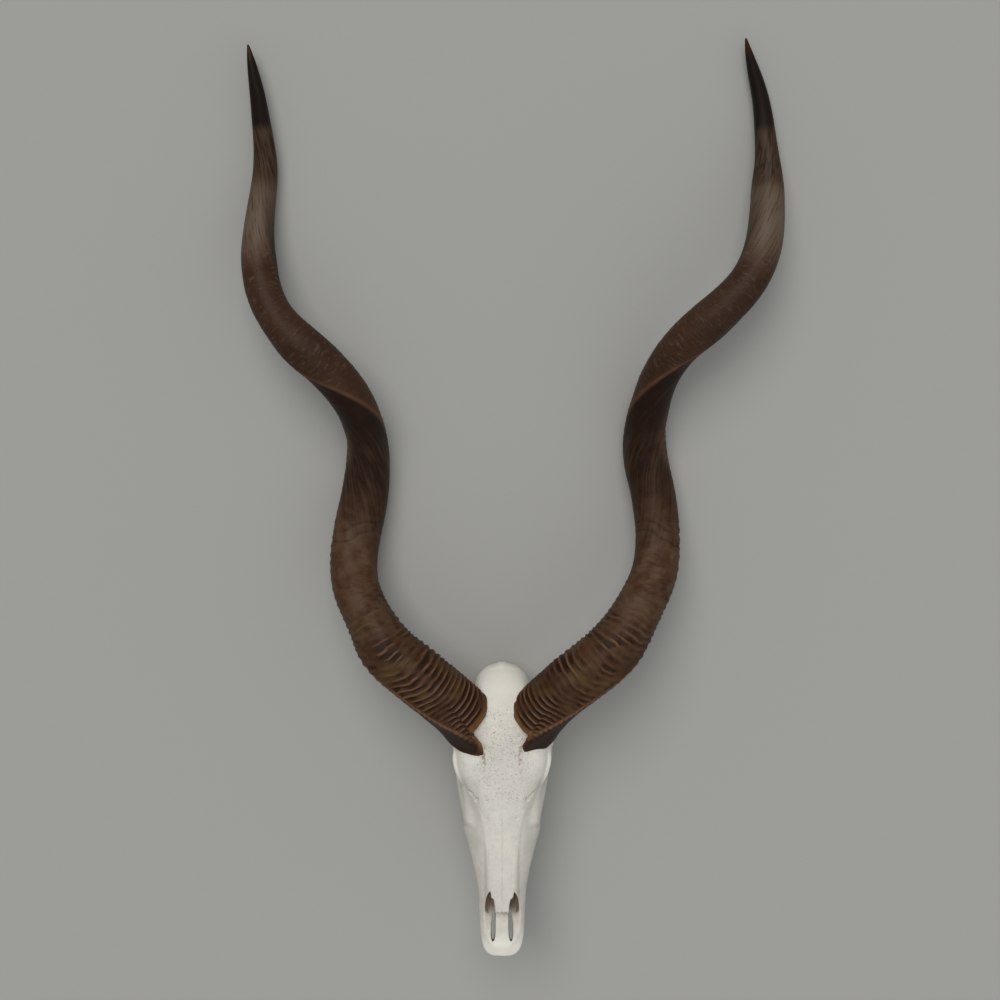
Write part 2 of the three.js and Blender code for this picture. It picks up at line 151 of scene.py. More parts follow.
def along(pairs, x):
    """Value at x of a smooth line through the pairs that never overshoots them."""
    at, value = np.array(pairs, float).T
    slope = np.diff(value) / np.diff(at)
    both = slope[:-1] * slope[1:]
    total = slope[:-1] + slope[1:]
    inner = np.where(both > 0, 2 * both / np.where(both > 0, total, 1), 0)
    tangent = np.concatenate([slope[:1], inner, slope[-1:]])
    x = np.clip(x, at[0], at[-1])
    i = np.clip(np.searchsorted(at, x, side="right") - 1, 0, len(slope) - 1)
    span = at[i + 1] - at[i]
    u = (x - at[i]) / span
    ends = value[i] * (1 + 2 * u) * (1 - u) ** 2 + value[i + 1] * u * u * (3 - 2 * u)
    return ends + span * u * (1 - u) * ((1 - u) * tangent[i] - u * tangent[i + 1])


def smooth_step(low, high, x):
    u = np.clip((x - low) / (high - low), 0, 1)
    return u * u * (3 - 2 * u)


def vertices_of(obj):
    flat = np.empty(3 * len(obj.data.vertices))
    obj.data.vertices.foreach_get("co", flat)
    return flat.reshape(-1, 3)


# Lying pose, read off the solids: nose tip at y 0, tooth faces at z 0, tooth rows either side of x 0.
TURN = np.array(Matrix.Rotation(-NOSE_LIFT, 3, "X"))
upright = {name: vertices_of(node) @ TURN / MM for name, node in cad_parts.items()}
teeth_names = [name for name in upright if "molar" in name]
SHIFT = np.array([
    np.mean([upright[name][:, 0].mean() for name in teeth_names]),
    upright["skull"][:, 1].min(),
    min(upright[name][:, 2].min() for name in teeth_names),
])


def lay_down(points):
    return (np.asarray(points, float) + SHIFT) @ TURN.T * MM


# Node trees


class Wire:
    """An output socket that takes part in Python sums."""

    def __init__(self, bench, socket):
        self.bench = bench
        self.socket = socket

    def math(self, operation, *values):
        return self.bench.node("ShaderNodeMath", {"operation": operation}, dict(enumerate(values)))

    def __add__(self, other):
        return self.math("ADD", self, other)

    def __radd__(self, other):
        return self.math("ADD", other, self)

    def __sub__(self, other):
        return self.math("SUBTRACT", self, other)

    def __rsub__(self, other):
        return self.math("SUBTRACT", other, self)

    def __mul__(self, other):
        return self.math("MULTIPLY", self, other)

    def __rmul__(self, other):
        return self.math("MULTIPLY", other, self)

    def __truediv__(self, other):
        return self.math("DIVIDE", self, other)

    def __rtruediv__(self, other):
        return self.math("DIVIDE", other, self)

    def __pow__(self, other):
        return self.math("POWER", self, other)

    def __neg__(self):
        return self.math("MULTIPLY", self, -1)

    def __abs__(self):
        return self.math("ABSOLUTE", self)

    def sin(self):
        return self.math("SINE", self)

    def cos(self):
        return self.math("COSINE", self)

    def exp(self):
        return self.math("EXPONENT", self)

    def least(self, other):
        return self.math("MINIMUM", self, other)

    def most(self, other):
        return self.math("MAXIMUM", self, other)

    def step(self, low, high):
        """0 below low, 1 above high, smooth between; high may be the lower one."""
        flip = high < low
        ends = {1: high, 2: low} if flip else {1: low, 2: high}
        rise = self.bench.node(
            "ShaderNodeMapRange", {"interpolation_type": "SMOOTHSTEP"}, {0: self, **ends}
        )
        return 1 - rise if flip else rise

    def bell(self, middle, width):
        """1 where this is at middle, falling away over width."""
        off = (self - middle) / width
        return (-(off * off)).exp()


class Bench:
    """Adds nodes to one tree."""

    def __init__(self, tree):
        self.tree = tree

    def node(self, kind, settings=None, inputs=None, out=0):
        made = self.tree.nodes.new(kind)
        for key, value in (settings or {}).items():
            if key == "curve":
                line = made.mapping.curves[0]
                while len(line.points) < len(value):
                    line.points.new(0.5, 0.5)
                for point, place in zip(line.points, value):
                    point.location = place
                made.mapping.update()
            else:
                setattr(made, key, value)
        for key, value in (inputs or {}).items():
            if isinstance(value, Wire):
                self.tree.links.new(value.socket, made.inputs[key])
            else:
                made.inputs[key].default_value = value
        return Wire(self, made.outputs[out])

    def split(self, vector):
        parts = self.node("ShaderNodeSeparateXYZ", {}, {0: vector})
        outputs = parts.socket.node.outputs
        return tuple(Wire(self, outputs[i]) for i in range(3))

    def vector(self, x, y, z):
        return self.node("ShaderNodeCombineXYZ", {}, {0: x, 1: y, 2: z})

    def vector_math(self, operation, a, b=None, scale=None):
        inputs = {0: a}
        if b is not None:
            inputs[1] = b
        if scale is not None:
            inputs["Scale"] = scale
        return self.node("ShaderNodeVectorMath", {"operation": operation}, inputs)

    def noise(self, place, scale, detail=3.0, roughness=0.55):
        inputs = {"Vector": place, "Scale": scale, "Detail": detail, "Roughness": roughness}
        return self.node("ShaderNodeTexNoise", {"noise_dimensions": "3D"}, inputs, out="Fac")

    def cells(self, place, scale):
        return self.node("ShaderNodeTexVoronoi", {}, {"Vector": place, "Scale": scale}, out="Distance")

    def mix(self, share, a, b):
        inputs = {0: share, 6: rgb(a), 7: rgb(b)}
        return self.node("ShaderNodeMix", {"data_type": "RGBA"}, inputs, out=2)

    def read(self, key, out="Fac"):
        return self.node("ShaderNodeAttribute", {"attribute_name": key}, out=out)

    def skull_place(self):
        """Place of each point in millimetres in the skull's own frame."""
        upright_spot = self.node("ShaderNodeMapping", {"vector_type": "POINT"}, {
            "Vector": self.node("ShaderNodeTexCoord", out="Object"),
            "Rotation": (NOSE_LIFT, 0, 0), "Location": tuple(-SHIFT * MM),
        })
        return self.vector_math("SCALE", upright_spot, scale=1 / MM)

    def curve(self, value, points, low, high, least, most):
        """Smooth line through the points, given in real units."""
        spots = [((x - low) / (high - low), (y - least) / (most - least)) for x, y in points]
        share = (value - low) / (high - low)
        return self.node("ShaderNodeFloatCurve", {"curve": spots}, {1: share}) * (most - least) + least


def rgb(colour):
    return colour if isinstance(colour, Wire) else (*colour, 1)


def new_material(name):
    material = bpy.data.materials.new(name)
    material.use_nodes = True
    nodes = material.node_tree.nodes
    nodes.clear()
    bench = Bench(material.node_tree)
    shader = nodes.new("ShaderNodeBsdfPrincipled")
    output = nodes.new("ShaderNodeOutputMaterial")
    material.node_tree.links.new(shader.outputs[0], output.inputs[0])

    def connect(**sockets):
        for key, value in sockets.items():
            socket = shader.inputs[key.replace("_", " ")]
            if isinstance(value, Wire):
                material.node_tree.links.new(value.socket, socket)
            else:
                socket.default_value = value

    return material, bench, connect


def bump(bench, height, distance, strength):
    inputs = {"Strength": strength, "Distance": distance, "Height": height}
    return bench.node("ShaderNodeBump", {}, inputs)


# Solid field


class Clay:
    """Signed distances in millimetres on a grid, negative inside."""

    def __init__(self, axes):
        self.axes = [np.asarray(axis, np.float32) for axis in axes]
        self.value = np.full([len(axis) for axis in self.axes], 40, np.float32)

    def window(self, low, high):
        slices = []
        for axis, a, b in zip(self.axes, low, high):
            start = np.searchsorted(axis, a)
            stop = max(np.searchsorted(axis, b), start + 1)
            slices.append(slice(start, stop))
        x, y, z = (axis[s] for axis, s in zip(self.axes, slices))
        return tuple(slices), x[:, None, None], y[None, :, None], z[None, None, :]

    def add(self, shape, blend=4.0):
        low, high, distance = shape
        slices, x, y, z = self.window(np.subtract(low, 12), np.add(high, 12))
        now = self.value[slices]
        new = distance(x, y, z)
        h = np.clip(blend - np.abs(now - new), 0, None) / blend
        self.value[slices] = np.minimum(now, new) - h * h * blend / 4

    def cut(self, shape, blend=3.0):
        low, high, distance = shape
        slices, x, y, z = self.window(np.subtract(low, 12), np.add(high, 12))
        now = self.value[slices]
        new = -distance(x, y, z)
        h = np.clip(blend - np.abs(now - new), 0, None) / blend
        self.value[slices] = np.maximum(now, new) + h * h * blend / 4


def oval(centre, radii, yaw=0.0, pitch=0.0):
    """Ellipsoid turned by yaw about z and then pitch about x."""
    centre = np.array(centre, float)
    radii = np.array(radii, float)
    turn = np.array(Matrix.Rotation(yaw, 3, "Z") @ Matrix.Rotation(pitch, 3, "X"))
    reach = np.sqrt((turn ** 2) @ (radii ** 2))

    def distance(x, y, z):
        d = [x - centre[0], y - centre[1], z - centre[2]]
        local = [sum(turn[j, i] * d[j] for j in range(3)) for i in range(3)]
        k0 = np.sqrt(sum((v / r) ** 2 for v, r in zip(local, radii)))
        k1 = np.sqrt(sum((v / r ** 2) ** 2 for v, r in zip(local, radii)))
        return k0 * (k0 - 1) / np.maximum(k1, 1e-4)

    return centre - reach, centre + reach, distance


def bar(stops, steps=24):
    """Bar along a smooth path. Each stop is (x, y, z, half width, half height)."""
    stops = np.array(stops, float)
    count = len(stops)
    padded = np.vstack([2 * stops[0] - stops[1], stops, 2 * stops[-1] - stops[-2]])
    rows = []
    for k in range(steps + 1):
        u = k / steps * (count - 1)
        i = min(int(u), count - 2)
        u -= i
        p0, p1, p2, p3 = padded[i:i + 4]
        rows.append(0.5 * (
            2 * p1 + (p2 - p0) * u + (2 * p0 - 5 * p1 + 4 * p2 - p3) * u * u
            + (3 * p1 - p0 - 3 * p2 + p3) * u ** 3
        ))
    rows = np.array(rows)
    rows[:, 3:] = np.maximum(rows[:, 3:], 0.4)
    wide = rows[:, 3:].max()

    def distance(x, y, z):
        best = None
        for a, b in zip(rows[:-1], rows[1:]):
            line = b[:3] - a[:3]
            length = np.linalg.norm(line)
            ahead = line / length
            across = np.array([1.0, 0, 0]) - ahead * ahead[0]
            if np.linalg.norm(across) < 0.3:
                across = np.array([0, 1.0, 0]) - ahead * ahead[1]
            across /= np.linalg.norm(across)
            up = np.cross(ahead, across)
            dx, dy, dz = x - a[0], y - a[1], z - a[2]
            s = np.clip((dx * ahead[0] + dy * ahead[1] + dz * ahead[2]) / length, 0, 1)
            dx, dy, dz = dx - s * line[0], dy - s * line[1], dz - s * line[2]
            w = a[3] + (b[3] - a[3]) * s
            h = a[4] + (b[4] - a[4]) * s
            e = dx * ahead[0] + dy * ahead[1] + dz * ahead[2]
            q = dx * across[0] + dy * across[1] + dz * across[2]
            r = dx * up[0] + dy * up[1] + dz * up[2]
            thin = np.minimum(w, h)
            k0 = np.sqrt((q / w) ** 2 + (r / h) ** 2 + (e / thin) ** 2)
            k1 = np.sqrt((q / w ** 2) ** 2 + (r / h ** 2) ** 2 + (e / thin ** 2) ** 2)
            d = k0 * (k0 - 1) / np.maximum(k1, 1e-4)
            d = np.where(k0 < 1e-3, -thin, d)
            best = d if best is None else np.minimum(best, d)
        return best

    low = rows[:, :3].min(axis=0) - wide
    high = rows[:, :3].max(axis=0) + wide
    return low, high, distance


def spline_closed(corners, count):
    """Points round a closed centripetal curve through the corners."""
    corners = np.array(corners, float)
    n = len(corners)
    out = []
    for k in range(count):
        u = k / count * n
        i = int(u)
        u -= i
        p = [corners[(i + j - 1) % n] for j in range(4)]
        gap = [max(np.linalg.norm(p[j + 1] - p[j]) ** 0.5, 1e-3) for j in range(3)]
        m1 = (p[1] - p[0]) / gap[0] - (p[2] - p[0]) / (gap[0] + gap[1]) + (p[2] - p[1]) / gap[1]
        m2 = (p[2] - p[1]) / gap[1] - (p[3] - p[1]) / (gap[1] + gap[2]) + (p[3] - p[2]) / gap[2]
        m1, m2 = m1 * gap[1], m2 * gap[1]
        a = 2 * p[1] - 2 * p[2] + m1 + m2
        b = -3 * p[1] + 3 * p[2] - 2 * m1 - m2
        out.append(((a * u + b) * u + m1) * u + p[1])
    return np.array(out)


def skull_section(y):
    crown = float(along(CROWN_Z, y))
    half = [
        (float(along(ROOF_HALF, y)), crown - float(along(ROOF_DROP, y))),
        (float(along(SIDE_HALF, y)), float(along(SIDE_Z, y))),
        (float(along(BASE_HALF, y)), float(along(BASE_Z, y))),
    ]
    corners = [(0, crown), *half, (0, float(along(BASE_Z, y)))]
    corners += [(-x, z) for x, z in reversed(half)]
    return spline_closed(corners, 64)


def fill_head(clay):
    """Face and braincase: each slice of the grid gets its distance to the skull's section there."""
    x_axis, y_axis, z_axis = clay.axes
    px, pz = np.meshgrid(x_axis, z_axis, indexing="ij")
    px = px.ravel()[:, None]
    pz = pz.ravel()[:, None]
    for j, y in enumerate(y_axis):
        section = skull_section(min(max(float(y), 0), SKULL_LENGTH)).astype(np.float32)
        a, b = section, np.roll(section, -1, axis=0)
        ex, ez = (b - a).T
        wx, wz = px - a[:, 0], pz - a[:, 1]
        s = np.clip((wx * ex + wz * ez) / (ex * ex + ez * ez), 0, 1)
        near = np.sqrt(((wx - s * ex) ** 2 + (wz - s * ez) ** 2).min(axis=1))
        crossing = (a[:, 1] > pz) != (b[:, 1] > pz)
        left = wx < ex * wz / np.where(np.abs(ez) < 1e-9, 1e-9, ez)
        inside = (crossing & left).sum(axis=1) % 2 == 1
        flat = np.where(inside, -near, near)
        beyond = max(-float(y), float(y) - SKULL_LENGTH)
        if beyond > -6:
            flat = np.maximum(flat, beyond)
        clay.value[:, j, :] = flat.reshape(len(x_axis), len(z_axis))


# Half width of the nose opening, height of its floor and of its side walls, and the nose bones' edge.
NOSE_HALF = [[0, 3], [14, 9], [28, 21], [45, 25.5], [60, 26], [75, 25], [85, 23], [92, 20], [100, 16]]
NOSE_FLOOR = [[0, 26], [12, 25.5], [30, 26], [60, 26], [75, 22], [165, 30]]
NOSE_WALL = [[0, 27], [14, 28], [30, 31], [60, 41], [80, 52], [100, 62]]
NASAL_HALF = [[60, 8.4], [68, 9], [78, 9.8], [86, 11.5], [89, 15], [96, 15.8], [104, 17]]
NASAL_TIP_Y = 67


def nose_opening():
    def distance(x, y, z):
        half = along(NOSE_HALF, y)
        floor = along(NOSE_FLOOR, y)
        slope = np.clip((x - 11) / np.maximum(half - 11, 1), 0, 1)
        below = floor + slope * (along(NOSE_WALL, y) - floor) - z
        gap = np.maximum(np.maximum(x - half, below * 0.7), y - 101)
        edge = NASAL_TIP_Y + 0.8 * np.cos(x * 1.1) - y
        roof = np.maximum(np.maximum(x - along(NASAL_HALF, y), edge), along(CROWN_Z, y) - 4 - z)
        return np.maximum(gap, -roof)

    return (-1, -2, 10), (34, 104, 110), distance


def slit():
    def distance(x, y, z):
        middle = along([[20, 12.6], [45, 12.2], [72, 10.6]], y)
        half = along([[20, 0.2], [24, 2], [34, 3.3], [50, 3.1], [60, 2.4], [68, 0.8]], y)
        return np.maximum(np.abs(x - middle) - half, np.maximum(21 - y, y - 69)) + 0 * z

    return (5, 20, -5), (18, 80, 60), distance


def shape_skull(clay):
    """All that is alike on both sides, on the half with x above 0."""
    fill_head(clay)
    # brow over the eye and cheek arch
    clay.add(oval((42, 285, 85), (24, 37, 30.5), -0.12), 9)
    clay.add(bar([
        (40, 190, 48, 9, 14), (50.5, 231, 56, 8.5, 13), (58, 270, 54, 6, 8),
        (59, 308, 60, 4.5, 8), (55, 340, 66, 5, 8), (33, 364, 66, 8, 9),
    ]), 5)
    # ear capsule, resting spur and neck joint
    clay.add(oval((22, 350, 27), (11, 15, 13)), 4)
    clay.add(bar([
        (24, 380, 52, 9, 9), (27, 383, 30, 7, 7), (28, 382, 10, 4.5, 5), (28, 380, -1.5, 3.5, 4),
    ]), 4)
    clay.add(oval((17, 391, 44), (11, 14, 16), 0, 0.3), 3)
    clay.add(bar([(30, 362, 54, 6, 6), (38, 358, 58, 4.5, 4.5)]), 3)
    # crest over the back of the head, and the wing beside the throat
    clay.add(bar([
        (0, 406, 84, 2, 2), (15, 402, 79, 2, 2), (27, 391, 69, 2.5, 2.5), (33, 377, 59, 3, 3),
    ]), 6)
    clay.add(bar([
        (17, 240, 28, 3, 9), (15, 270, 25, 2.5, 10), (14, 300, 24, 2.5, 8), (15, 322, 31, 3, 6),
    ]), 3)
    # hollows: vault of the palate, throat, spine hole and the gap behind the eye
    clay.cut(oval((0, 165, 12), (21, 92, 15)), 4)
    clay.cut(bar([
        (0, 226, 34, 11, 9), (0, 262, 33, 11.5, 13), (0, 300, 22, 11, 14), (0, 335, 12, 12, 16),
    ]), 3)
    clay.cut(bar([(0, 370, 58, 15, 13), (0, 395, 55, 15, 14), (0, 425, 50, 16, 15)]), 3)
    clay.cut(oval((54, 336, 74), (12, 24, 17)), 4)
    # side of the face in front of the eye, then the eye socket with its thin rim
    clay.add(bar([(43, 198, 60, 8, 12), (45, 230, 68, 8, 13), (50, 252, 72, 6, 11)]), 8)
    clay.cut(oval((70, 278, 77), (43, 27, 22), -0.2), 2)
    clay.add(bar([
        (57, 306, 93, 3, 2.5), (61, 298, 98, 2.8, 2.2), (64.3, 286, 100.5, 2.4, 2),
        (62.5, 272, 100, 2.2, 2), (58, 259, 94.5, 2.2, 2), (53, 249, 86, 2, 2),
    ]), 2)
    # ear hole
    clay.cut(bar([(36, 359, 57, 2, 2), (44, 356, 60, 2, 2)]), 1)


def shape_nose(clay):
    clay.cut(bar([
        (0, 52, 35, 17, 11), (0, 80, 37, 18, 15), (0, 120, 46, 17, 15), (0, 165, 50, 15, 15),
    ]), 3)
    clay.cut(nose_opening(), 1.5)
    clay.cut(slit(), 1.2)


def shape_face(clay):
    """Low relief of the face, on the half with x above 0."""
    # shallow gap and small holes where the forehead bone ends over the side of the nose
    clay.cut(bar([
        (45, 242, 92, 0.8, 2.2), (38, 232, 97, 1.4, 3), (31, 220, 96, 0.9, 2), (26, 208, 94, 0.8, 2),
    ]), 1.5)
    clay.cut(oval((34, 228, 98), (2.6, 4.2, 6), 0.5), 1.5)
    clay.cut(oval((20, 201, 91), (2.4, 1.8, 5)), 1.5)
    clay.cut(oval((14, 197, 92), (1.6, 1.4, 4)), 1.2)
    # groove and hole above each eye
    clay.cut(bar([(26.5, 295, 123, 2.2, 2.5), (25.5, 284, 119, 2.6, 4), (25, 272, 116, 1.6, 2.2)]), 3)
    # ridge along the edge of the nose bones, and the furrow between them
    clay.add(bar([
        (27.5, 210, 85.5, 2.2, 2), (21.5, 181, 79, 2, 2), (17.7, 140, 71, 2, 2),
        (16.2, 104, 62.4, 1.8, 2), (15.8, 92, 59, 1.5, 1.8),
    ]), 4)
    clay.cut(bar([(0, 190, 93.5, 0.9, 3), (0, 130, 78.5, 0.9, 3), (0, 75, 60, 0.8, 3)]), 2.5)
    # the jaw swells over the roots of the teeth
    clay.add(bar([(30, 130, 25, 5, 8), (34, 190, 26, 8, 9), (36, 240, 28, 7, 9)]), 6)


def horn_axes(horn):
    side = horn["side"]
    tip = horn["tip"]
    ahead = np.array([side * (tip[0] - HORN_BASE["x"]), tip[1] - HORN_BASE["y"], tip[2] - HORN_BASE["z"]])
    ahead = ahead / np.linalg.norm(ahead)
    outward = np.array([side, 0, 0]) - side * ahead[0] * ahead
    outward /= np.linalg.norm(outward)
    upward = np.cross(outward, ahead) * side
    return outward, upward / np.linalg.norm(upward)


def horn_point(horn, t):
    t = np.atleast_1d(np.asarray(t, float))
    side = horn["side"]
    base = np.array([side * HORN_BASE["x"], HORN_BASE["y"], HORN_BASE["z"]])
    tip = np.array([side * horn["tip"][0], horn["tip"][1], horn["tip"][2]])
    outward, upward = horn_axes(horn)

    def coil(u):
        angle = horn["phase"] + 2 * np.pi * horn["turns"] * np.sign(u) * np.abs(u) ** horn["ease"]
        radius = horn["coil"] + (horn["coil_tip"] - horn["coil"]) * np.maximum(u, 0) ** horn["coil_fall"]
        return np.outer(radius * np.cos(angle), upward) + np.outer(radius * np.sin(angle), outward)

    point = np.outer(1 - t, base) + np.outer(t, tip) + coil(t)
    point -= np.outer((1 - t) ** 3, coil(np.zeros(1))[0])
    point -= np.outer(t ** 3, coil(np.ones(1))[0])
    point += np.outer(horn["bow"] * np.sin(np.pi * np.maximum(t, 0) ** horn["bow_ease"]), outward)
    point[:, 0] += side * along(horn["sway"], t)
    return point


def horn_frame(horn, t, turn):
    t = np.atleast_1d(np.asarray(t, float))
    step = 0.002
    at = horn_point(horn, t)
    ahead = horn_point(horn, t + step) - horn_point(horn, t - step)
    ahead /= np.linalg.norm(ahead, axis=1)[:, None]
    outward, upward = horn_axes(horn)
    keelward = np.outer(np.cos(turn), upward) + np.outer(np.sin(turn), outward)
    keelward -= ahead * (keelward * ahead).sum(axis=1)[:, None]
    keelward /= np.linalg.norm(keelward, axis=1)[:, None]
    return at, ahead, keelward, np.cross(ahead, keelward)


def horn_core(horn):
    """Bone core of a horn as a chain of round slices."""
    slices = 14
    t = np.linspace(-0.06, 0.06, slices)
    at = horn_point(horn, t)
    radius = along(CORE_RADIUS, t)
    return bar([(*p, r, r) for p, r in zip(at, radius)], steps=slices - 1)


CORNERS = np.array([[i, j, k] for i in (0, 1) for j in (0, 1) for k in (0, 1)])
EDGES = [(a, b) for a in range(8) for b in range(a + 1, 8) if abs(CORNERS[a] - CORNERS[b]).sum() == 1]


def skin(clay):
    """Closed quad mesh at distance 0: one point in each grid cell that the surface passes."""
    v = clay.value
    for k in range(3):
        for end in (0, -1):
            side = tuple(end if i == k else slice(None) for i in range(3))
            v[side] = np.maximum(v[side], 0.5)
    inside = v < 0
    nx, ny, nz = v.shape
    count = sum(
        inside[i:nx - 1 + i, j:ny - 1 + j, k:nz - 1 + k].astype(np.int8) for i, j, k in CORNERS
    )
    cells = np.argwhere((count > 0) & (count < 8))
    number = np.full((nx - 1, ny - 1, nz - 1), -1, np.int64)
    number[tuple(cells.T)] = np.arange(len(cells))
    corner = np.stack([v[tuple((cells + c).T)] for c in CORNERS], axis=1)
    total = np.zeros((len(cells), 3))
    hits = np.zeros(len(cells))
    for a, b in EDGES:
        va, vb = corner[:, a], corner[:, b]
        cross = (va < 0) != (vb < 0)
        s = np.where(cross, va / np.where(cross, va - vb, 1), 0)
        point = CORNERS[a] + s[:, None] * (CORNERS[b] - CORNERS[a])
        total += point * cross[:, None]
        hits += cross
    spots = cells + total / hits[:, None]
    points = np.stack([
        np.interp(spots[:, i], np.arange(len(axis)), axis) for i, axis in enumerate(clay.axes)
    ], axis=1)
    faces = []
    for axis in range(3):
        one, two = [k for k in range(3) if k != axis]
        step = np.eye(3, dtype=int)
        a = inside[tuple(slice(0, -1) if k == axis else slice(None) for k in range(3))]
        b = inside[tuple(slice(1, None) if k == axis else slice(None) for k in range(3))]
        spots = np.argwhere(a != b)
        spots = spots[(spots[:, one] > 0) & (spots[:, two] > 0)]
        spots = spots[(spots[:, one] < v.shape[one] - 1) & (spots[:, two] < v.shape[two] - 1)]
        starts = a[tuple(spots.T)]
        ring = [
            number[tuple((spots - step[one] * p - step[two] * q).T)]
            for p, q in ((1, 1), (0, 1), (0, 0), (1, 0))
        ]
        quad = np.stack(ring, axis=1)
        flip = starts if axis == 1 else ~starts
        quad[flip] = quad[flip][:, ::-1]
        faces.append(quad)
    return points, np.vstack(faces)


def relax(points, faces, rounds):
    """Evens the grid steps out without shrinking the shape."""
    edges = np.vstack([faces[:, [i, (i + 1) % 4]] for i in range(4)])
    edges = np.unique(np.sort(edges, axis=1), axis=0)
    degree = np.bincount(edges.ravel(), minlength=len(points))[:, None]
    for k in range(rounds * 2):
        total = np.zeros_like(points)
        for i in range(3):
            total[:, i] += np.bincount(edges[:, 0], points[edges[:, 1], i], len(points))
            total[:, i] += np.bincount(edges[:, 1], points[edges[:, 0], i], len(points))
        pull = total / degree - points
        points = points + pull * (0.5 if k % 2 == 0 else -0.52)
    return points


def sample(clay, points):
    """Distance at any points, straight between grid points."""
    place = np.stack([
        np.interp(points[:, i], axis, np.arange(len(axis))) for i, axis in enumerate(clay.axes)
    ], axis=1)
    place = np.clip(place, 0, np.array(clay.value.shape) - 1.001)
    cell = place.astype(int)
    u = place - cell
    total = 0
    for c in CORNERS:
        weight = np.prod(np.where(c, u, 1 - u), axis=1)
        total = total + weight * clay.value[tuple((cell + c).T)]
    return total


def mesh_object(name, points, faces, material, smooth=True):
    mesh = bpy.data.meshes.new(name)
    mesh.vertices.add(len(points))
    mesh.vertices.foreach_set("co", np.asarray(points, np.float32).ravel())
    corners = faces.shape[1]
    mesh.loops.add(faces.size)
    mesh.loops.foreach_set("vertex_index", faces.ravel().astype(np.int32))
    mesh.polygons.add(len(faces))
    mesh.polygons.foreach_set("loop_start", np.arange(0, faces.size, corners, dtype=np.int32))
    mesh.polygons.foreach_set("use_smooth", np.full(len(faces), smooth))
    mesh.update(calc_edges=True)
    mesh.materials.append(material)
    obj = bpy.data.objects.new(name, mesh)
    bpy.context.scene.collection.objects.link(obj)
    return obj


def lie_flat(obj):
    """Worn level where the piece rests on the surface below it."""
    spots = np.empty(len(obj.data.vertices) * 3, np.float32)
    obj.data.vertices.foreach_get("co", spots)
    spots[2::3] = np.maximum(spots[2::3], 0)
    obj.data.vertices.foreach_set("co", spots)
    obj.data.update()


def put_values(obj, name, values):
    attribute = obj.data.attributes.new(name, "FLOAT", "POINT")
    attribute.data.foreach_set("value", np.asarray(values, np.float32))


def volume_of(obj):
    mesh = obj.data
    mesh.calc_loop_triangles()
    corners = np.empty(3 * len(mesh.loop_triangles), np.int32)
    mesh.loop_triangles.foreach_get("vertices", corners)
    a, b, c = vertices_of(obj)[corners.reshape(-1, 3).T]
    return float((a * np.cross(b, c)).sum() / 6)


def spaced(start, stretches):
    """Grid lines from start on; each stretch is (end, distance between lines)."""
    lines = [start]
    for end, step in stretches:
        while lines[-1] < end:
            lines.append(lines[-1] + step * COARSER)
    return np.array(lines)


def roughness(axes, size, seed):
    """Smooth random swelling, about -1 to 1, with features of the given size."""
    rng = np.random.default_rng(seed)
    weights = []
    for axis in axes:
        place = (axis - axis[0]) / size
        knots = int(place[-1]) + 3
        table = np.zeros((len(axis), knots))
        cell = place.astype(int)
        u = place - cell
        rows = np.arange(len(axis))
        for offset, share in enumerate((
            (1 - u) ** 3, 3 * u ** 3 - 6 * u ** 2 + 4, -3 * u ** 3 + 3 * u ** 2 + 3 * u + 1, u ** 3
        )):
            table[rows, np.minimum(cell + offset, knots - 1)] += share / 6
        weights.append(table)
    knots = rng.uniform(-1.6, 1.6, [table.shape[1] for table in weights])
    return np.einsum("ia,jb,kc,abc->ijk", *weights, knots, optimize=True).astype(np.float32)


def make_skull(material):
    across = spaced(0.7, [(34, 1.4), (62, 1.6), (86, 1.9)])
    back = spaced(-4.5, [(108, 1.3), (300, 1.6), (426, 2.1)])
    up = spaced(-7, [(16, 2.0), (170, 1.55)])
    half = Clay([across, back, up])
    shape_skull(half)
    shape_face(half)
    shape_nose(half)
    whole = Clay([np.concatenate([-across[::-1], across]), back, up])
    whole.value = np.concatenate([half.value[::-1], half.value], axis=0)
    whole.value += 0.35 * roughness(whole.axes, 14, 5) + 0.2 * roughness(whole.axes, 6, 8) - 0.5
    for horn in HORNS.values():
        whole.add(horn_core(horn), 9)
    points, faces = skin(whole)
    points = relax(points, faces, 2)
    gradient = np.stack([
        sample(whole, points + d) - sample(whole, points - d) for d in np.eye(3) * 1.4
    ], axis=1)
    gradient /= np.maximum(np.linalg.norm(gradient, axis=1), 1e-6)[:, None]
    # how near bone faces bone: 5 mm out from each point, and 15 mm out; the bone's finish paints shade into
    # the recesses by these
    hollow, cave = (
        1 - np.clip(sample(whole, points + gradient * reach) / reach, 0, 1) for reach in (5.0, 15.0)
    )
    obj = mesh_object("skull_bone", lay_down(points), faces, material)
    put_values(obj, "hollow", hollow)
    put_values(obj, "cave", cave)
    if volume_of(obj) < 0:
        obj.data.flip_normals()
    return obj


TOOTH_GRID = 0.85
# Each tooth reaches this far past its solid at both ends, to stand close to its neighbours.
TOOTH_LENGTHEN = 0.7


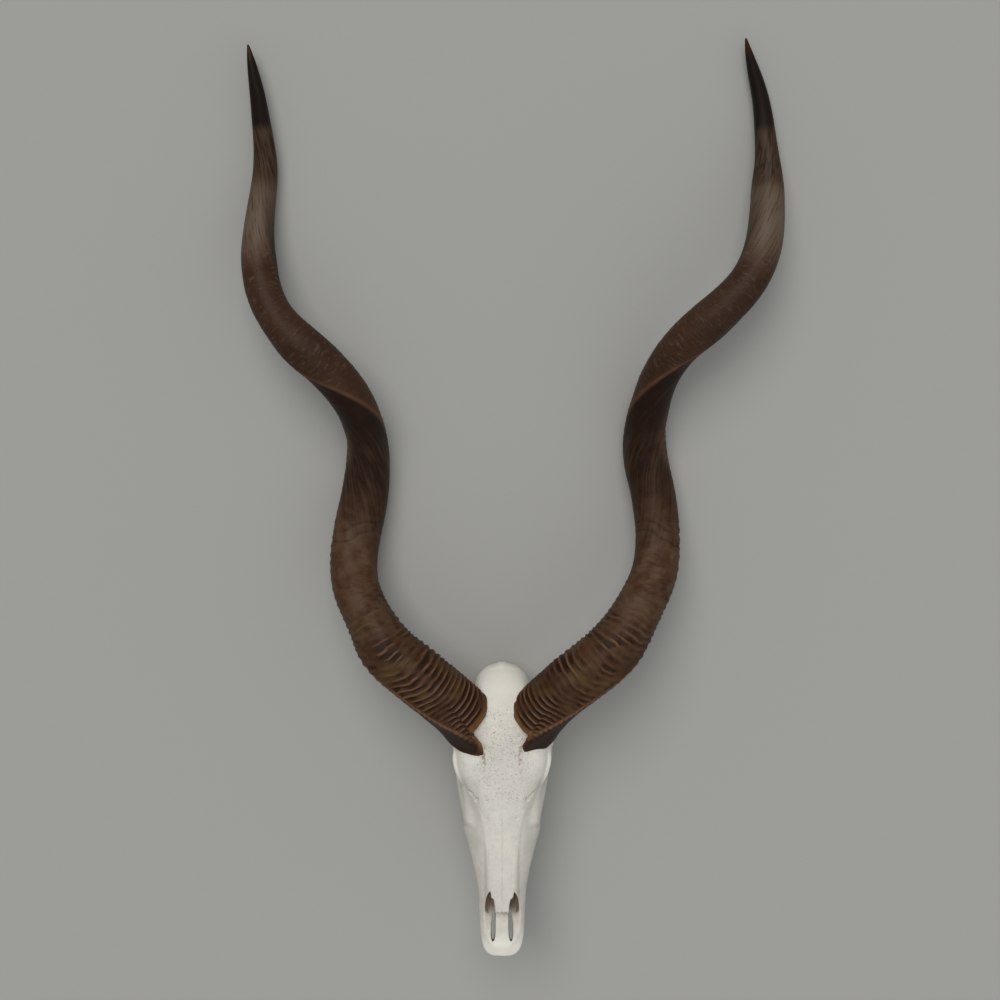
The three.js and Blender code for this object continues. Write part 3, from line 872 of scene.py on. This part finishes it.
def tooth(low, high, lobes):
    """Cheek tooth in its box: lobes in a row, each with a pointed outer cusp and two pits."""
    low = low - [0, TOOTH_LENGTHEN, 0]
    high = high + [0, TOOTH_LENGTHEN, 0]
    clay = Clay([np.arange(a - 1.6, b + 1.6, TOOTH_GRID * COARSER) for a, b in zip(low, high)])
    middle = (low + high) / 2
    outward = np.sign(middle[0])
    half_width = (high[0] - low[0]) / 2
    half_length = (high[1] - low[1]) / 2 / lobes
    thin = min(half_width, half_length)
    for lobe in range(lobes):
        lobe_y = low[1] + half_length * (2 * lobe + 1)

        def column(x, y, z):
            u = (x - middle[0]) / half_width * outward
            v = (y - lobe_y) / half_length
            narrow = 1 - 0.04 * np.clip((low[2] + 7 - z) / 7, 0, 1)
            side = ((np.abs(u) ** 3.4 + np.abs(v) ** 3.4) ** (1 / 3.4) - narrow) * thin
            edge = low[2] + 1.2 * (1 - u) + 2.6 * np.abs(v)
            return np.maximum(np.maximum(side, (edge - z) * 0.8), z - high[2])

        clay.add((low, high, column), 0.9)
        clay.add(bar([
            (middle[0] + outward * half_width * 0.84, lobe_y, high[2] - 2, 1.2, 1.2),
            (middle[0] + outward * half_width * 0.76, lobe_y, low[2] + 1.4, 0.8, 0.8),
        ]), 1.5)
        for inward in (-0.4, 0.25):
            pit = (middle[0] + outward * half_width * inward, lobe_y, low[2] + 1.5 - inward)
            clay.cut(oval(pit, (half_width * 0.17, half_length * 0.55, 2.6)), 0.8)
    points, faces = skin(clay)
    return relax(points, faces, 1), faces


# Horns

# Distance between the rings of points, on the ringed part and on the smooth part above it.
HORN_STEP = 1.6
SMOOTH_STEP = 2.8


def horn_path(name, side, horn):
    """Points down the outside from the tip to the rim, round the lip and up inside the socket.

    Each point carries what its ring of points needs: directions, half width, place on the horn.
    """
    fine = np.linspace(SHEATH_START, 1, 4001)
    spots = horn_point(horn, fine)
    travel = np.concatenate([[0], np.cumsum(np.linalg.norm(np.diff(spots, axis=0), axis=1))])
    total = travel[-1]
    stops = [0.0]
    while stops[-1] < total:
        share = stops[-1] / total
        stops.append(stops[-1] + HORN_STEP + (SMOOTH_STEP - HORN_STEP) * float(smooth_step(0.35, 0.6, share)))
    stops = np.array(stops[:-1] + [total])
    t_out = np.interp(stops, travel, fine)
    radius_out = along(horn["radius"], t_out)
    lip = smooth_step(0, 14, stops)
    radius_out = radius_out - 2.2 * (1 - lip) ** 2
    radius_out[-1] = 0
    near_tip = total - stops
    rounded = np.minimum(radius_out, np.sqrt(np.maximum(near_tip, 0)) * 1.1)
    radius_out = np.where(near_tip < 6, rounded, radius_out)
    outside = [t_out[::-1], radius_out[::-1], stops[::-1], np.ones(len(stops))]
    t_in = np.concatenate([[SHEATH_START - 0.0005], np.linspace(SHEATH_START, SOCKET_END, 40)])
    radius_in = along(SOCKET_RADIUS, t_in)
    radius_in[0] = (radius_in[1] + radius_out[0]) / 2
    t_in = np.append(t_in, SOCKET_END)
    radius_in = np.append(radius_in, 0)
    inside = [t_in, radius_in, np.interp(t_in, fine, travel), np.zeros(len(t_in))]
    t, radius, distance, outer = (np.concatenate([a, b]) for a, b in zip(outside, inside))
    turn = np.radians(along(KEEL_TURN[side], t))
    at, ahead, keelward, beside = horn_frame(horn, t, turn)
    path = bpy.data.meshes.new(name)
    path.vertices.add(len(t))
    path.vertices.foreach_set("co", lay_down(at).astype(np.float32).ravel())
    for key, vectors in (("ahead", ahead), ("keelward", keelward), ("beside", beside)):
        attribute = path.attributes.new(key, "FLOAT_VECTOR", "POINT")
        attribute.data.foreach_set("vector", (vectors @ TURN.T).astype(np.float32).ravel())
    rim = np.clip(1 - (t - SHEATH_START) / RIM_FADE, 0, 1)
    count = np.concatenate([[0], np.cumsum(np.diff(travel) / along(RING_PITCH, fine[1:]))])
    floats = {
        "radius": radius, "share": t, "travel": distance, "rim": rim, "outer": outer,
        "turn": turn * horn["side"], "count": np.interp(t, fine, count),
    }
    for key, values in floats.items():
        attribute = path.attributes.new(key, "FLOAT", "POINT")
        attribute.data.foreach_set("value", values.astype(np.float32))
    obj = bpy.data.objects.new(name, path)
    bpy.context.scene.collection.objects.link(obj)
    return obj


def horn_tree():
    """Node tree that wraps rings round a horn's path, with growth rings, a keel and a slanting rim."""
    tree = bpy.data.node_groups.new("spiral_horn", "GeometryNodeTree")
    face = tree.interface
    face.new_socket("Geometry", in_out="OUTPUT", socket_type="NodeSocketGeometry")
    face.new_socket("Path", in_out="INPUT", socket_type="NodeSocketGeometry")
    sizes = {
        "Sides": ("NodeSocketInt", HORN_SIDES),
        "Side": ("NodeSocketFloat", 1.0),
        "Ring Density": ("NodeSocketFloat", 1.0),
        "Ring Depth": ("NodeSocketFloat", 2.6),
        "Wrinkle Depth": ("NodeSocketFloat", 0.9),
        "Keel Height": ("NodeSocketFloat", 0.11),
        "Keel Width": ("NodeSocketFloat", 0.34),
        "Seed": ("NodeSocketFloat", 3.0),
    }
    for key, (kind, value) in sizes.items():
        face.new_socket(key, in_out="INPUT", socket_type=kind).default_value = value
    face.new_socket("Horn", in_out="INPUT", socket_type="NodeSocketMaterial")
    bench = Bench(tree)
    entry = tree.nodes.new("NodeGroupInput")
    given = {socket.name: Wire(bench, socket) for socket in entry.outputs if socket.name}

    rows = bench.node(
        "GeometryNodeAttributeDomainSize", {"component": "MESH"}, {0: given["Path"]}, out="Point Count"
    )
    grid = bench.node("GeometryNodeMeshGrid", {}, {
        "Size X": 1.0, "Size Y": 1.0, "Vertices X": given["Sides"] + 1, "Vertices Y": rows,
    })
    grid_x, grid_y, _ = bench.split(bench.node("GeometryNodeInputPosition"))
    row = bench.node("ShaderNodeMath", {"operation": "ROUND"}, {0: (grid_y + 0.5) * (rows - 1)})
    even = grid_x * (2 * math.pi)
    column = even - even.sin() * 0.65

    def read(kind, key):
        named = bench.node("GeometryNodeInputNamedAttribute", {"data_type": kind}, {"Name": key})
        return bench.node(
            "GeometryNodeSampleIndex", {"data_type": kind, "domain": "POINT"},
            {"Geometry": given["Path"], "Value": named, "Index": row},
        )

    centre = bench.node(
        "GeometryNodeSampleIndex", {"data_type": "FLOAT_VECTOR", "domain": "POINT"},
        {"Geometry": given["Path"], "Value": bench.node("GeometryNodeInputPosition"), "Index": row},
    )
    ahead, keelward, beside = (read("FLOAT_VECTOR", key) for key in ("ahead", "keelward", "beside"))
    radius, share, travel, rim, outer, turn, count = (
        read("FLOAT", key)
        for key in ("radius", "share", "travel", "rim", "outer", "turn", "count")
    )

    # angle from the top of the horn, then of the keel, positive on the side away from the other horn
    top = (turn + column) * given["Side"]
    from_top = bench.node("ShaderNodeMath", {"operation": "ARCTAN2"}, {0: top.sin(), 1: top.cos()})
    degrees = from_top * (180 / math.pi)
    rim_back = bench.curve(degrees, RIM_BACK, -180, 180, -30, 30)
    lean = bench.curve(degrees, RIM_LEAN, -180, 180, -10, 10) * rim * rim
    angle = column + lean * (math.pi / 180) * given["Side"]
    off_keel = column * given["Side"]
    shear = rim_back * rim
    place = bench.vector(angle.cos() * radius, angle.sin() * radius, travel - shear + given["Seed"] * 900)
    tip_fade = ((1 - share) * 8).least(1)
    keel = off_keel.bell(0, given["Keel Width"]) * tip_fade * (0.75 + 0.6 * share.bell(0.0, 0.12))
    behind = bench.node("ShaderNodeMath", {"operation": "LESS_THAN"}, {0: off_keel, 1: -1.0})
    past_keel = off_keel + behind * (2 * math.pi) - share.bell(0.352, 0.07) * 2.0
    smooth_face = off_keel.step(0.02, 0.2).most(behind) * past_keel.step(2.4, 1.7) * share.step(0.85, 0.7)
    opposite = abs(off_keel).step(2.7, 3.1)

    # growth rings: wavy, swept back along the keel, deep at the base and gone before the tip
    waver = bench.noise(place, 0.018, 2.0) - 0.5
    shiver = bench.noise(place, 0.08, 2.0) - 0.5
    sweep = off_keel.bell(-0.05, 0.5) * share.step(0.0, 0.09) * 1.1 + opposite * share.step(0.15, 0.25) * 0.5
    loose = 0.3 + 0.7 * share.step(0.04, 0.2)
    phase = count * given["Ring Density"] - shear / RING_PITCH[0][1]
    phase = phase + (waver * 2.4 + shiver * 0.5) * loose - sweep
    phase = phase + (phase * (2 * math.pi)).sin() * 0.09
    crest = (phase * (2 * math.pi)).cos() * 0.5 + 0.5
    depth = bench.curve(share, RING_STRENGTH, 0, 1, 0, 1)
    unlike = bench.noise(bench.vector_math("ADD", place, bench.vector(40.0, 0.0, 0.0)), 0.03, 2.0)
    unlike = unlike.step(0.3, 0.65) * 0.85 + 0.3
    strength = depth * (1 - 0.92 * smooth_face) * unlike
    ring = (crest - 0.5) * strength * given["Ring Depth"]

    # fine wrinkles between the rings
    fine_phase = count * 3.1 + waver * 6 + shiver * 2.2 - sweep * 2.2
    wrinkle = abs((fine_phase * math.pi).sin()) ** 0.8
    wrinkle_depth = bench.curve(share, WRINKLE_STRENGTH, 0, 1, 0, 1)
    fine_strength = wrinkle_depth * (1 - 0.8 * smooth_face) * bench.noise(place, 0.06, 2.0).step(0.35, 0.65)
    fine_ring = (wrinkle - 0.6) * fine_strength * given["Wrinkle Depth"]
    lump = (bench.noise(place, 0.025, 2.0) - 0.5) * 2.6 * depth.most(0.3) * tip_fade
    furrow = opposite * share.step(0.14, 0.22) * share.step(0.6, 0.48) * -1.3
    bend = share - off_keel.sin() * 0.007 + (off_keel * 2).sin() * 0.005 + waver * 0.012
    fold = (bend.bell(0.297, 0.0018) + bend.bell(0.311, 0.0016)) * abs(off_keel).step(1.0, 1.8)

    reach = radius * (1 + keel * given["Keel Height"])
    reach = reach + (ring + fine_ring + lump + furrow - fold * 1.4) * (radius / 12).least(1)
    reach = radius + (reach - radius) * outer
    position = centre
    for direction, length in (
        (keelward, angle.cos() * reach), (beside, angle.sin() * reach), (ahead, -shear)
    ):
        offset = bench.vector_math("SCALE", direction, scale=length * MM)
        position = bench.vector_math("ADD", position, offset)

    def store(geometry, key, value, kind="FLOAT"):
        return bench.node(
            "GeometryNodeStoreNamedAttribute", {"data_type": kind, "domain": "POINT"},
            {"Geometry": geometry, "Name": key, "Value": value},
        )

    # crest, valley and wrinkle carry the ring masks with which the horn's finish paints highlight and shade
    kept = store(grid, "place", place, "FLOAT_VECTOR")
    kept = store(kept, "crest", crest * strength)
    kept = store(kept, "valley", ((1 - crest) * strength).most(fold))
    kept = store(kept, "wrinkle", (1 - wrinkle) * fine_strength)
    kept = store(kept, "share", share)
    kept = store(kept, "keel", off_keel.bell(0, 0.1))
    kept = store(kept, "smooth_face", smooth_face)
    kept = store(kept, "tongue", degrees.step(-4, 6) * degrees.step(100, 60) * rim.step(0.3, 0.75))
    moved = bench.node("GeometryNodeSetPosition", {}, {"Geometry": kept, "Position": position})
    joined = bench.node("GeometryNodeMergeByDistance", {}, {"Geometry": moved, "Distance": 2e-6})
    shaded = bench.node("GeometryNodeSetShadeSmooth", {}, {"Geometry": joined})
    coloured = bench.node("GeometryNodeSetMaterial", {}, {"Geometry": shaded, "Material": given["Horn"]})
    real = bench.node("GeometryNodeRealizeInstances", {}, {"Geometry": coloured})
    leave = tree.nodes.new("NodeGroupOutput")
    tree.links.new(real.socket, leave.inputs[0])
    return tree


def grow(obj, name, tree, values):
    """Runs the tree on obj and returns its result as a plain mesh object."""
    modifier = obj.modifiers.new("grow", "NODES")
    modifier.node_group = tree
    for item in tree.interface.items_tree:
        if item.in_out == "INPUT" and item.name in values:
            modifier[item.identifier] = values[item.name]
    evaluated = obj.evaluated_get(bpy.context.evaluated_depsgraph_get())
    mesh = bpy.data.meshes.new_from_object(evaluated)
    obj.modifiers.remove(modifier)
    bpy.data.objects.remove(obj)
    mesh.name = name
    grown = bpy.data.objects.new(name, mesh)
    bpy.context.scene.collection.objects.link(grown)
    if volume_of(grown) < 0:
        mesh.flip_normals()
    return grown


# Finishes


# Seams of the bone: distance from the mid line at each distance behind the nose tip.
NASAL_SEAM = [(60, 16), (100, 17), (160, 19), (196, 21), (210, 12), (222, 1)]
BROW_SEAM = [(196, 14), (201, 22), (212, 28), (228, 35), (240, 45), (258, 60)]


def bone_material():
    material, bench, connect = new_material("bleached_bone")
    here = bench.skull_place()
    x, y, z = bench.split(here)
    aside = abs(x)
    hollow = bench.read("hollow")
    cave = bench.read("cave")

    broad = bench.noise(here, 0.012, 3.0)
    patch = bench.noise(here, 0.045, 4.0)
    fibre = bench.noise(bench.vector(x, y * 0.06, z * 0.8), 0.9, 3.0)
    grain = bench.noise(here, 0.9, 4.0)

    # pores: thick on the forehead between and below the horns, thin elsewhere on top
    forehead = y.step(205, 235) * y.step(372, 330) * aside.step(52, 26) * z.step(84, 100)
    near_horns = y.step(280, 305) * y.step(365, 340) * aside.step(44, 30)
    holes = bench.cells(here, 0.42)
    crowd = bench.noise(here, 0.16, 3.0)
    pore = holes.step(0.3, 0.12) * crowd.step(0.44, 0.58) * (forehead * 0.8 + near_horns * 0.8).least(1)
    tiny = bench.cells(here, 0.7).step(0.28, 0.1) * bench.noise(here, 0.3, 2.0).step(0.46, 0.62)
    tiny = tiny * (0.25 + 0.75 * forehead)

    # seams: mid line of the nose bones, their side seams and the edge of the forehead bone
    wiggle = bench.noise(here, 0.35, 3.0) - 0.5
    wave = bench.noise(here, 0.12, 2.0) - 0.5
    top_side = z.step(45, 52)
    middle_seam = abs(x + wiggle).step(0.55, 0.15) * y.step(66, 70) * y.step(215, 190)
    forehead_seam = abs(x + wiggle * 3.2 + wave * 3).step(0.5, 0.12) * y.step(205, 215) * y.step(345, 325)
    nasal_edge = bench.curve(y, NASAL_SEAM, 60, 222, 0, 30)
    side_seam = abs(aside - nasal_edge + wiggle * 1.2).step(0.5, 0.12) * y.step(88, 96) * y.step(222, 218)
    side_seam = side_seam * y.step(222, 200) * top_side
    brow_edge = bench.curve(y, BROW_SEAM, 190, 262, 0, 70)
    brow_seam = abs(aside - brow_edge + wiggle * 3 + wave * 2).step(0.6, 0.15)
    brow_seam = brow_seam * y.step(196, 200) * y.step(262, 258) * top_side
    faint = bench.noise(here, 0.07, 2.0).step(0.38, 0.62)
    seam = middle_seam * 0.55 + forehead_seam * 0.1 + side_seam * 0.35 + brow_seam * 0.4
    seam = seam * (0.25 + 0.75 * faint)

    # stain in the two grooves above the eyes and round the horn bases
    groove = abs(aside - 24.5 + wave * 8).step(4.5, 0.5) * y.step(258, 284) * y.step(312, 300)
    groove = groove * z.step(95, 105) * bench.noise(here, 0.22, 3.0).step(0.36, 0.6)
    rim_stain = near_horns * bench.noise(here, 0.2, 3.0).step(0.45, 0.75) * 0.5

    # bleached bone, mottled and browner towards the underside, with painted shade dulling the side planes of
    # the face and painted light whitening both ends
    colour = bench.mix(broad.step(0.35, 0.65), (0.83, 0.81, 0.72), (0.80, 0.755, 0.685))
    colour = bench.mix(patch.step(0.42, 0.72) * 0.6, colour, (0.69, 0.685, 0.63))
    colour = bench.mix((fibre - 0.5).step(-0.02, 0.3) * 0.45, colour, (0.60, 0.57, 0.50))
    colour = bench.mix(grain.step(0.4, 0.8) * 0.4, colour, (0.58, 0.54, 0.46))
    mottle = bench.noise(here, 0.13, 5.0, 0.7)
    colour = bench.mix(mottle.step(0.45, 0.68) * 0.4, colour, (0.60, 0.585, 0.53))
    under = z.step(60, 20) * 0.35
    colour = bench.mix(under * patch.step(0.3, 0.6), colour, (0.56, 0.50, 0.40))
    # painted light whitening the dome and the nose tip
    ends = (y.step(345, 385) * z.step(60, 80) + y.step(40, 15)).least(1)
    colour = bench.mix(ends * 0.75, colour, (0.90, 0.875, 0.80))
    # painted shade on the side planes of the face
    flank_shade = aside.step(26, 34) * y.step(130, 170) * y.step(262, 240)
    colour = bench.mix(flank_shade * (0.25 + 0.3 * patch), colour, (0.58, 0.555, 0.49))
    # painted shade in the hollows: the inside of the nose, the caves under the skull and the eye sockets
    along_eye = (y - 278) * 0.038
    up_eye = (z - 77) * 0.047
    socket = (along_eye * along_eye + up_eye * up_eye).step(1.05, 0.8) * aside.step(62, 44)
    # painted shade: browner where bone faces bone close by
    deep = hollow.step(0.2, 0.9)
    colour = bench.mix(deep * (0.35 + 0.35 * patch), colour, (0.48, 0.40, 0.29))
    # painted shade inside the nose
    roof = bench.curve(y, [(30, 34), (60, 51), (90, 64), (125, 74), (165, 83)], 30, 165, 0, 100)
    nose_inside_shade = (roof - z).step(5, 13) * aside.step(26, 20) * y.step(54, 74) * y.step(160, 150)
    nose_inside_shade = nose_inside_shade * (0.6 + 0.5 * patch) * (roof - z).step(70, 40)
    colour = bench.mix(nose_inside_shade, colour, (0.20, 0.135, 0.08))
    away = 1 - aside.step(34, 40) * y.step(245, 252) * y.step(318, 310)
    # painted shade, dark brown, in the caves under the skull and the deepest recesses, kept off the eye area
    colour = bench.mix(cave.step(0.5, 0.9) * 0.9 * away, colour, (0.16, 0.105, 0.06))
    colour = bench.mix(hollow.step(0.85, 1.0) * 0.6 * away, colour, (0.10, 0.075, 0.05))
    # painted shade in the eye sockets
    colour = bench.mix(socket * 0.6, colour, (0.26, 0.20, 0.14))
    colour = bench.mix(groove * 0.8, colour, (0.30, 0.23, 0.13))
    colour = bench.mix(rim_stain, colour, (0.58, 0.53, 0.40))
    colour = bench.mix(seam * 0.55, colour, (0.36, 0.31, 0.24))
    colour = bench.mix((pore * 0.8 + tiny * 0.6).least(1), colour, (0.33, 0.31, 0.26))

    relief = grain * 0.25 + fibre * 0.35 - seam * 1.2 - pore * 1.6 - tiny * 0.8 + patch * 0.3
    connect(
        Base_Color=colour,
        Roughness=0.5 + 0.18 * patch + 0.2 * deep,
        Normal=bump(bench, relief, 0.0006, 0.9),
    )
    return material


def horn_material():
    material, bench, connect = new_material("dark_horn")
    place = bench.read("place", "Vector")
    crest, valley, wrinkle, share, keel, smooth_face, tongue = (
        bench.read(key)
        for key in ("crest", "valley", "wrinkle", "share", "keel", "smooth_face", "tongue")
    )
    around_x, around_y, travel = bench.split(place)
    fibre = bench.noise(bench.vector(around_x, around_y, travel * 0.04), 0.5, 4.0)
    cross_line = bench.noise(bench.vector(around_x * 0.1, around_y * 0.1, travel), 0.7, 4.0)
    broad = bench.noise(place, 0.014, 3.0)
    patch = bench.noise(place, 0.06, 4.0)
    ringed = share.step(0.72, 0.5)

    # ringed part: brown, with painted highlight making the crests paler and painted shade making the valleys
    # nearly black
    colour = bench.mix(broad.step(0.35, 0.65), (0.042, 0.015, 0.006), (0.066, 0.026, 0.011))
    colour = bench.mix(patch.step(0.35, 0.75) * 0.5, colour, (0.095, 0.050, 0.027))
    colour = bench.mix(cross_line.step(0.5, 0.75) * 0.4 * ringed, colour, (0.13, 0.075, 0.045))
    # painted highlight on the ring crests
    colour = bench.mix(crest.step(0.5, 1.0) * 0.6, colour, (0.20, 0.105, 0.06))
    # painted shade, nearly black, in the ring valleys and the fine wrinkles
    colour = bench.mix(valley.step(0.3, 0.9) * 0.8, colour, (0.009, 0.0035, 0.0015))
    colour = bench.mix(wrinkle.step(0.25, 0.8) * 0.5, colour, (0.016, 0.008, 0.004))
    middle = share.step(0.12, 0.2) * share.step(0.5, 0.42)
    colour = bench.mix(middle * patch.step(0.3, 0.7) * 0.5, colour, (0.12, 0.076, 0.046))
    olive = share.step(0.02, 0.06) * share.step(0.24, 0.16) * bench.noise(place, 0.025, 2.0).step(0.5, 0.68)
    colour = bench.mix(olive * 0.6, colour, (0.10, 0.062, 0.022))
    # upper part: pale flecks of painted glint, a stretch of painted shade, a grey stretch of painted sheen,
    # then stripes
    glint_fleck = bench.noise(bench.vector(around_x * 0.3, around_y * 0.3, travel), 0.28, 3.0, 0.65)
    glint_fleck = glint_fleck.step(0.5, 0.78) * share.step(0.5, 0.58) * share.step(0.78, 0.7)
    colour = bench.mix(glint_fleck * 0.5, colour, (0.22, 0.165, 0.12))
    # painted shade where the coil faces down
    mid_horn_shade = share.step(0.42, 0.55) * share.step(0.75, 0.68)
    colour = bench.mix(mid_horn_shade * 0.45, colour, (0.026, 0.014, 0.009))
    # painted sheen: a grey stretch where the coil faces up to the light
    grey_sheen = share.step(0.70, 0.765) * share.step(0.84, 0.80) * fibre.step(0.25, 0.55)
    colour = bench.mix(grey_sheen * 0.72, colour, (0.15, 0.118, 0.088))
    stripe = bench.mix(fibre.step(0.35, 0.6), (0.016, 0.009, 0.005), (0.060, 0.040, 0.026))
    colour = bench.mix(share.step(0.815, 0.84) * 0.85, colour, stripe)
    # smooth dark face, with long grain that twists with the horn, and the keel's pale line, a painted
    # highlight along its ridge
    darkest = bench.mix(patch, (0.006, 0.0025, 0.0015), (0.020, 0.007, 0.003))
    paler = share.step(0.4, 0.3) * share.step(0.15, 0.2)
    colour = bench.mix(smooth_face * (0.88 - 0.5 * paler), colour, darkest)
    twist = bench.noise(bench.vector(around_x, around_y, travel * 0.02), 0.3, 4.0).step(0.45, 0.65)
    twist = twist * share.step(0.24, 0.3) * share.step(0.47, 0.42)
    colour = bench.mix(twist * 0.35, colour, (0.095, 0.050, 0.027))
    # painted highlight along the keel's ridge
    colour = bench.mix(keel * share.step(0.78, 0.66) * (0.3 + 0.6 * patch), colour, (0.14, 0.066, 0.035))
    colour = bench.mix(keel.step(0.5, 1.0) * share.step(0.2, 0.1) * 0.55, colour, (0.25, 0.13, 0.08))
    # redder crests near the base: the horn's own colour, with painted highlight on the crests
    colour = bench.mix(crest.step(0.3, 0.9) * share.step(0.16, 0.02) * 0.35, colour, (0.20, 0.075, 0.025))
    colour = bench.mix(fibre.step(0.5, 0.8) * 0.25, colour, (0.09, 0.05, 0.028))
    # base: dark tongue over the brow and an amber edge; and the black tip
    tongue_brown = bench.mix(patch, (0.012, 0.006, 0.003), (0.045, 0.020, 0.009))
    colour = bench.mix(tongue * 0.85, colour, tongue_brown)
    amber = share.step(0.008, -0.008) * (1 - smooth_face * 0.7) * (1 - tongue * 0.6)
    # painted shade: the amber is dimmed in the ring valleys
    amber = amber * (1 - valley.step(0.4, 0.9) * 0.8)
    colour = bench.mix(amber * (0.3 + 0.9 * patch), colour, (0.24, 0.115, 0.032))
    colour = bench.mix(share.step(0.885, 0.9) * 0.9, colour, (0.008, 0.004, 0.0025))
    colour = bench.mix(share.step(0.972, 0.995) * 0.5, colour, (0.06, 0.022, 0.009))

    relief = cross_line * 0.9 * ringed * (1 - 0.7 * smooth_face)
    relief = relief + fibre * 0.4 * share.step(0.3, 0.7) + patch * 0.5 + glint_fleck * 1.2
    connect(
        Base_Color=colour,
        Roughness=0.44 + 0.2 * patch - 0.06 * share,
        Normal=bump(bench, relief, 0.0006, 0.9),
        Specular_IOR_Level=0.15,
    )
    return material


def enamel_material():
    material, bench, connect = new_material("tooth_enamel")
    here = bench.skull_place()
    x, y, z = bench.split(here)
    patch = bench.noise(here, 0.15, 4.0)
    streak = bench.noise(bench.vector(x, y, z * 0.2), 0.7, 3.0)
    colour = bench.mix(patch, (0.76, 0.70, 0.56), (0.66, 0.57, 0.40))
    colour = bench.mix(streak.step(0.5, 0.8) * 0.5, colour, (0.40, 0.29, 0.16))
    colour = bench.mix(z.step(3, -0.5) * 0.6, colour, (0.36, 0.27, 0.16))
    colour = bench.mix(z.step(12, 20) * 0.5, colour, (0.60, 0.52, 0.38))
    connect(
        Base_Color=colour,
        Roughness=0.28 + 0.2 * patch,
        Normal=bump(bench, streak * 0.6 + patch * 0.4, 0.0004, 0.7),
    )
    return material


def floor_material():
    material, _, connect = new_material("pale_floor")
    connect(Base_Color=(0.42, 0.42, 0.40, 1), Roughness=0.85)
    return material


# The object

bone = bone_material()
horn_finish = horn_material()
enamel = enamel_material()

skull = make_skull(bone)
lie_flat(skull)
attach(skull, "root")
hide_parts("skull")

tree = horn_tree()
for number, (name, horn) in enumerate(HORNS.items()):
    path = horn_path(f"horn_path_{name}", name, horn)
    piece = grow(path, f"spiral_horn_{name}", tree, {
        "Side": float(horn["side"]), "Seed": 3.0 + 4 * number, "Horn": horn_finish,
    })
    lie_flat(piece)
    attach(piece, "root")
    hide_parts(f"horn_{name}")

for name in teeth_names:
    corners = (upright[name].min(axis=0) - SHIFT, upright[name].max(axis=0) - SHIFT)
    points, faces = tooth(*corners, lobes=1 if "premolar" in name else 2)
    piece = mesh_object(f"{name}_crown", lay_down(points), faces, enamel)
    if volume_of(piece) < 0:
        piece.data.flip_normals()
    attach(piece, "root")
    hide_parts(name)


# Stage

FLOOR_HALF = 6.0
floor_points = np.array([[-1, -1, 0], [1, -1, 0], [1, 1, 0], [-1, 1, 0]]) * FLOOR_HALF
floor = mesh_object("floor", floor_points, np.array([[0, 1, 2, 3]]), floor_material(), smooth=False)

# Camera 3 m in front of the face, square to it, with 0.7 m in view on either side at z 0.
EYE = (-2.8, 634, 3000)
VIEW_HALF_WIDTH = 700
FILM_WIDTH = 36
camera_data = bpy.data.cameras.new("camera")
camera_data.sensor_width = FILM_WIDTH
camera_data.lens = FILM_WIDTH / 2 * EYE[2] / VIEW_HALF_WIDTH
camera_data.clip_end = 20
camera = bpy.data.objects.new("camera", camera_data)
bpy.context.scene.collection.objects.link(camera)
camera.matrix_world = Matrix.Translation(Vector(lay_down([EYE])[0])) @ Matrix(TURN.tolist()).to_4x4()
bpy.context.scene.camera = camera


def soft_light(name, place, spread, strength, colour):
    """Even light from the direction of place; spread is the width in degrees of its soft source."""
    data = bpy.data.lights.new(name, "SUN")
    data.angle = math.radians(spread)
    data.energy = strength
    data.color = colour
    light = bpy.data.objects.new(name, data)
    aim = -Vector(place)
    light.matrix_world = Matrix.Translation(Vector(place)) @ aim.to_track_quat("-Z", "Y").to_matrix().to_4x4()
    bpy.context.scene.collection.objects.link(light)


soft_light("key", (-0.4, 1.9, 2.5), 38, 1.8, (1.0, 0.985, 0.96))
soft_light("fill", (1.4, -1.0, 2.0), 90, 0.42, (0.95, 0.97, 1.0))

world = bpy.data.worlds.new("studio")
world.use_nodes = True
background = world.node_tree.nodes["Background"]
background.inputs["Color"].default_value = (0.86, 0.87, 0.89, 1)
background.inputs["Strength"].default_value = 0.26
bpy.context.scene.world = world
bpy.context.scene.view_settings.view_transform = "Standard"
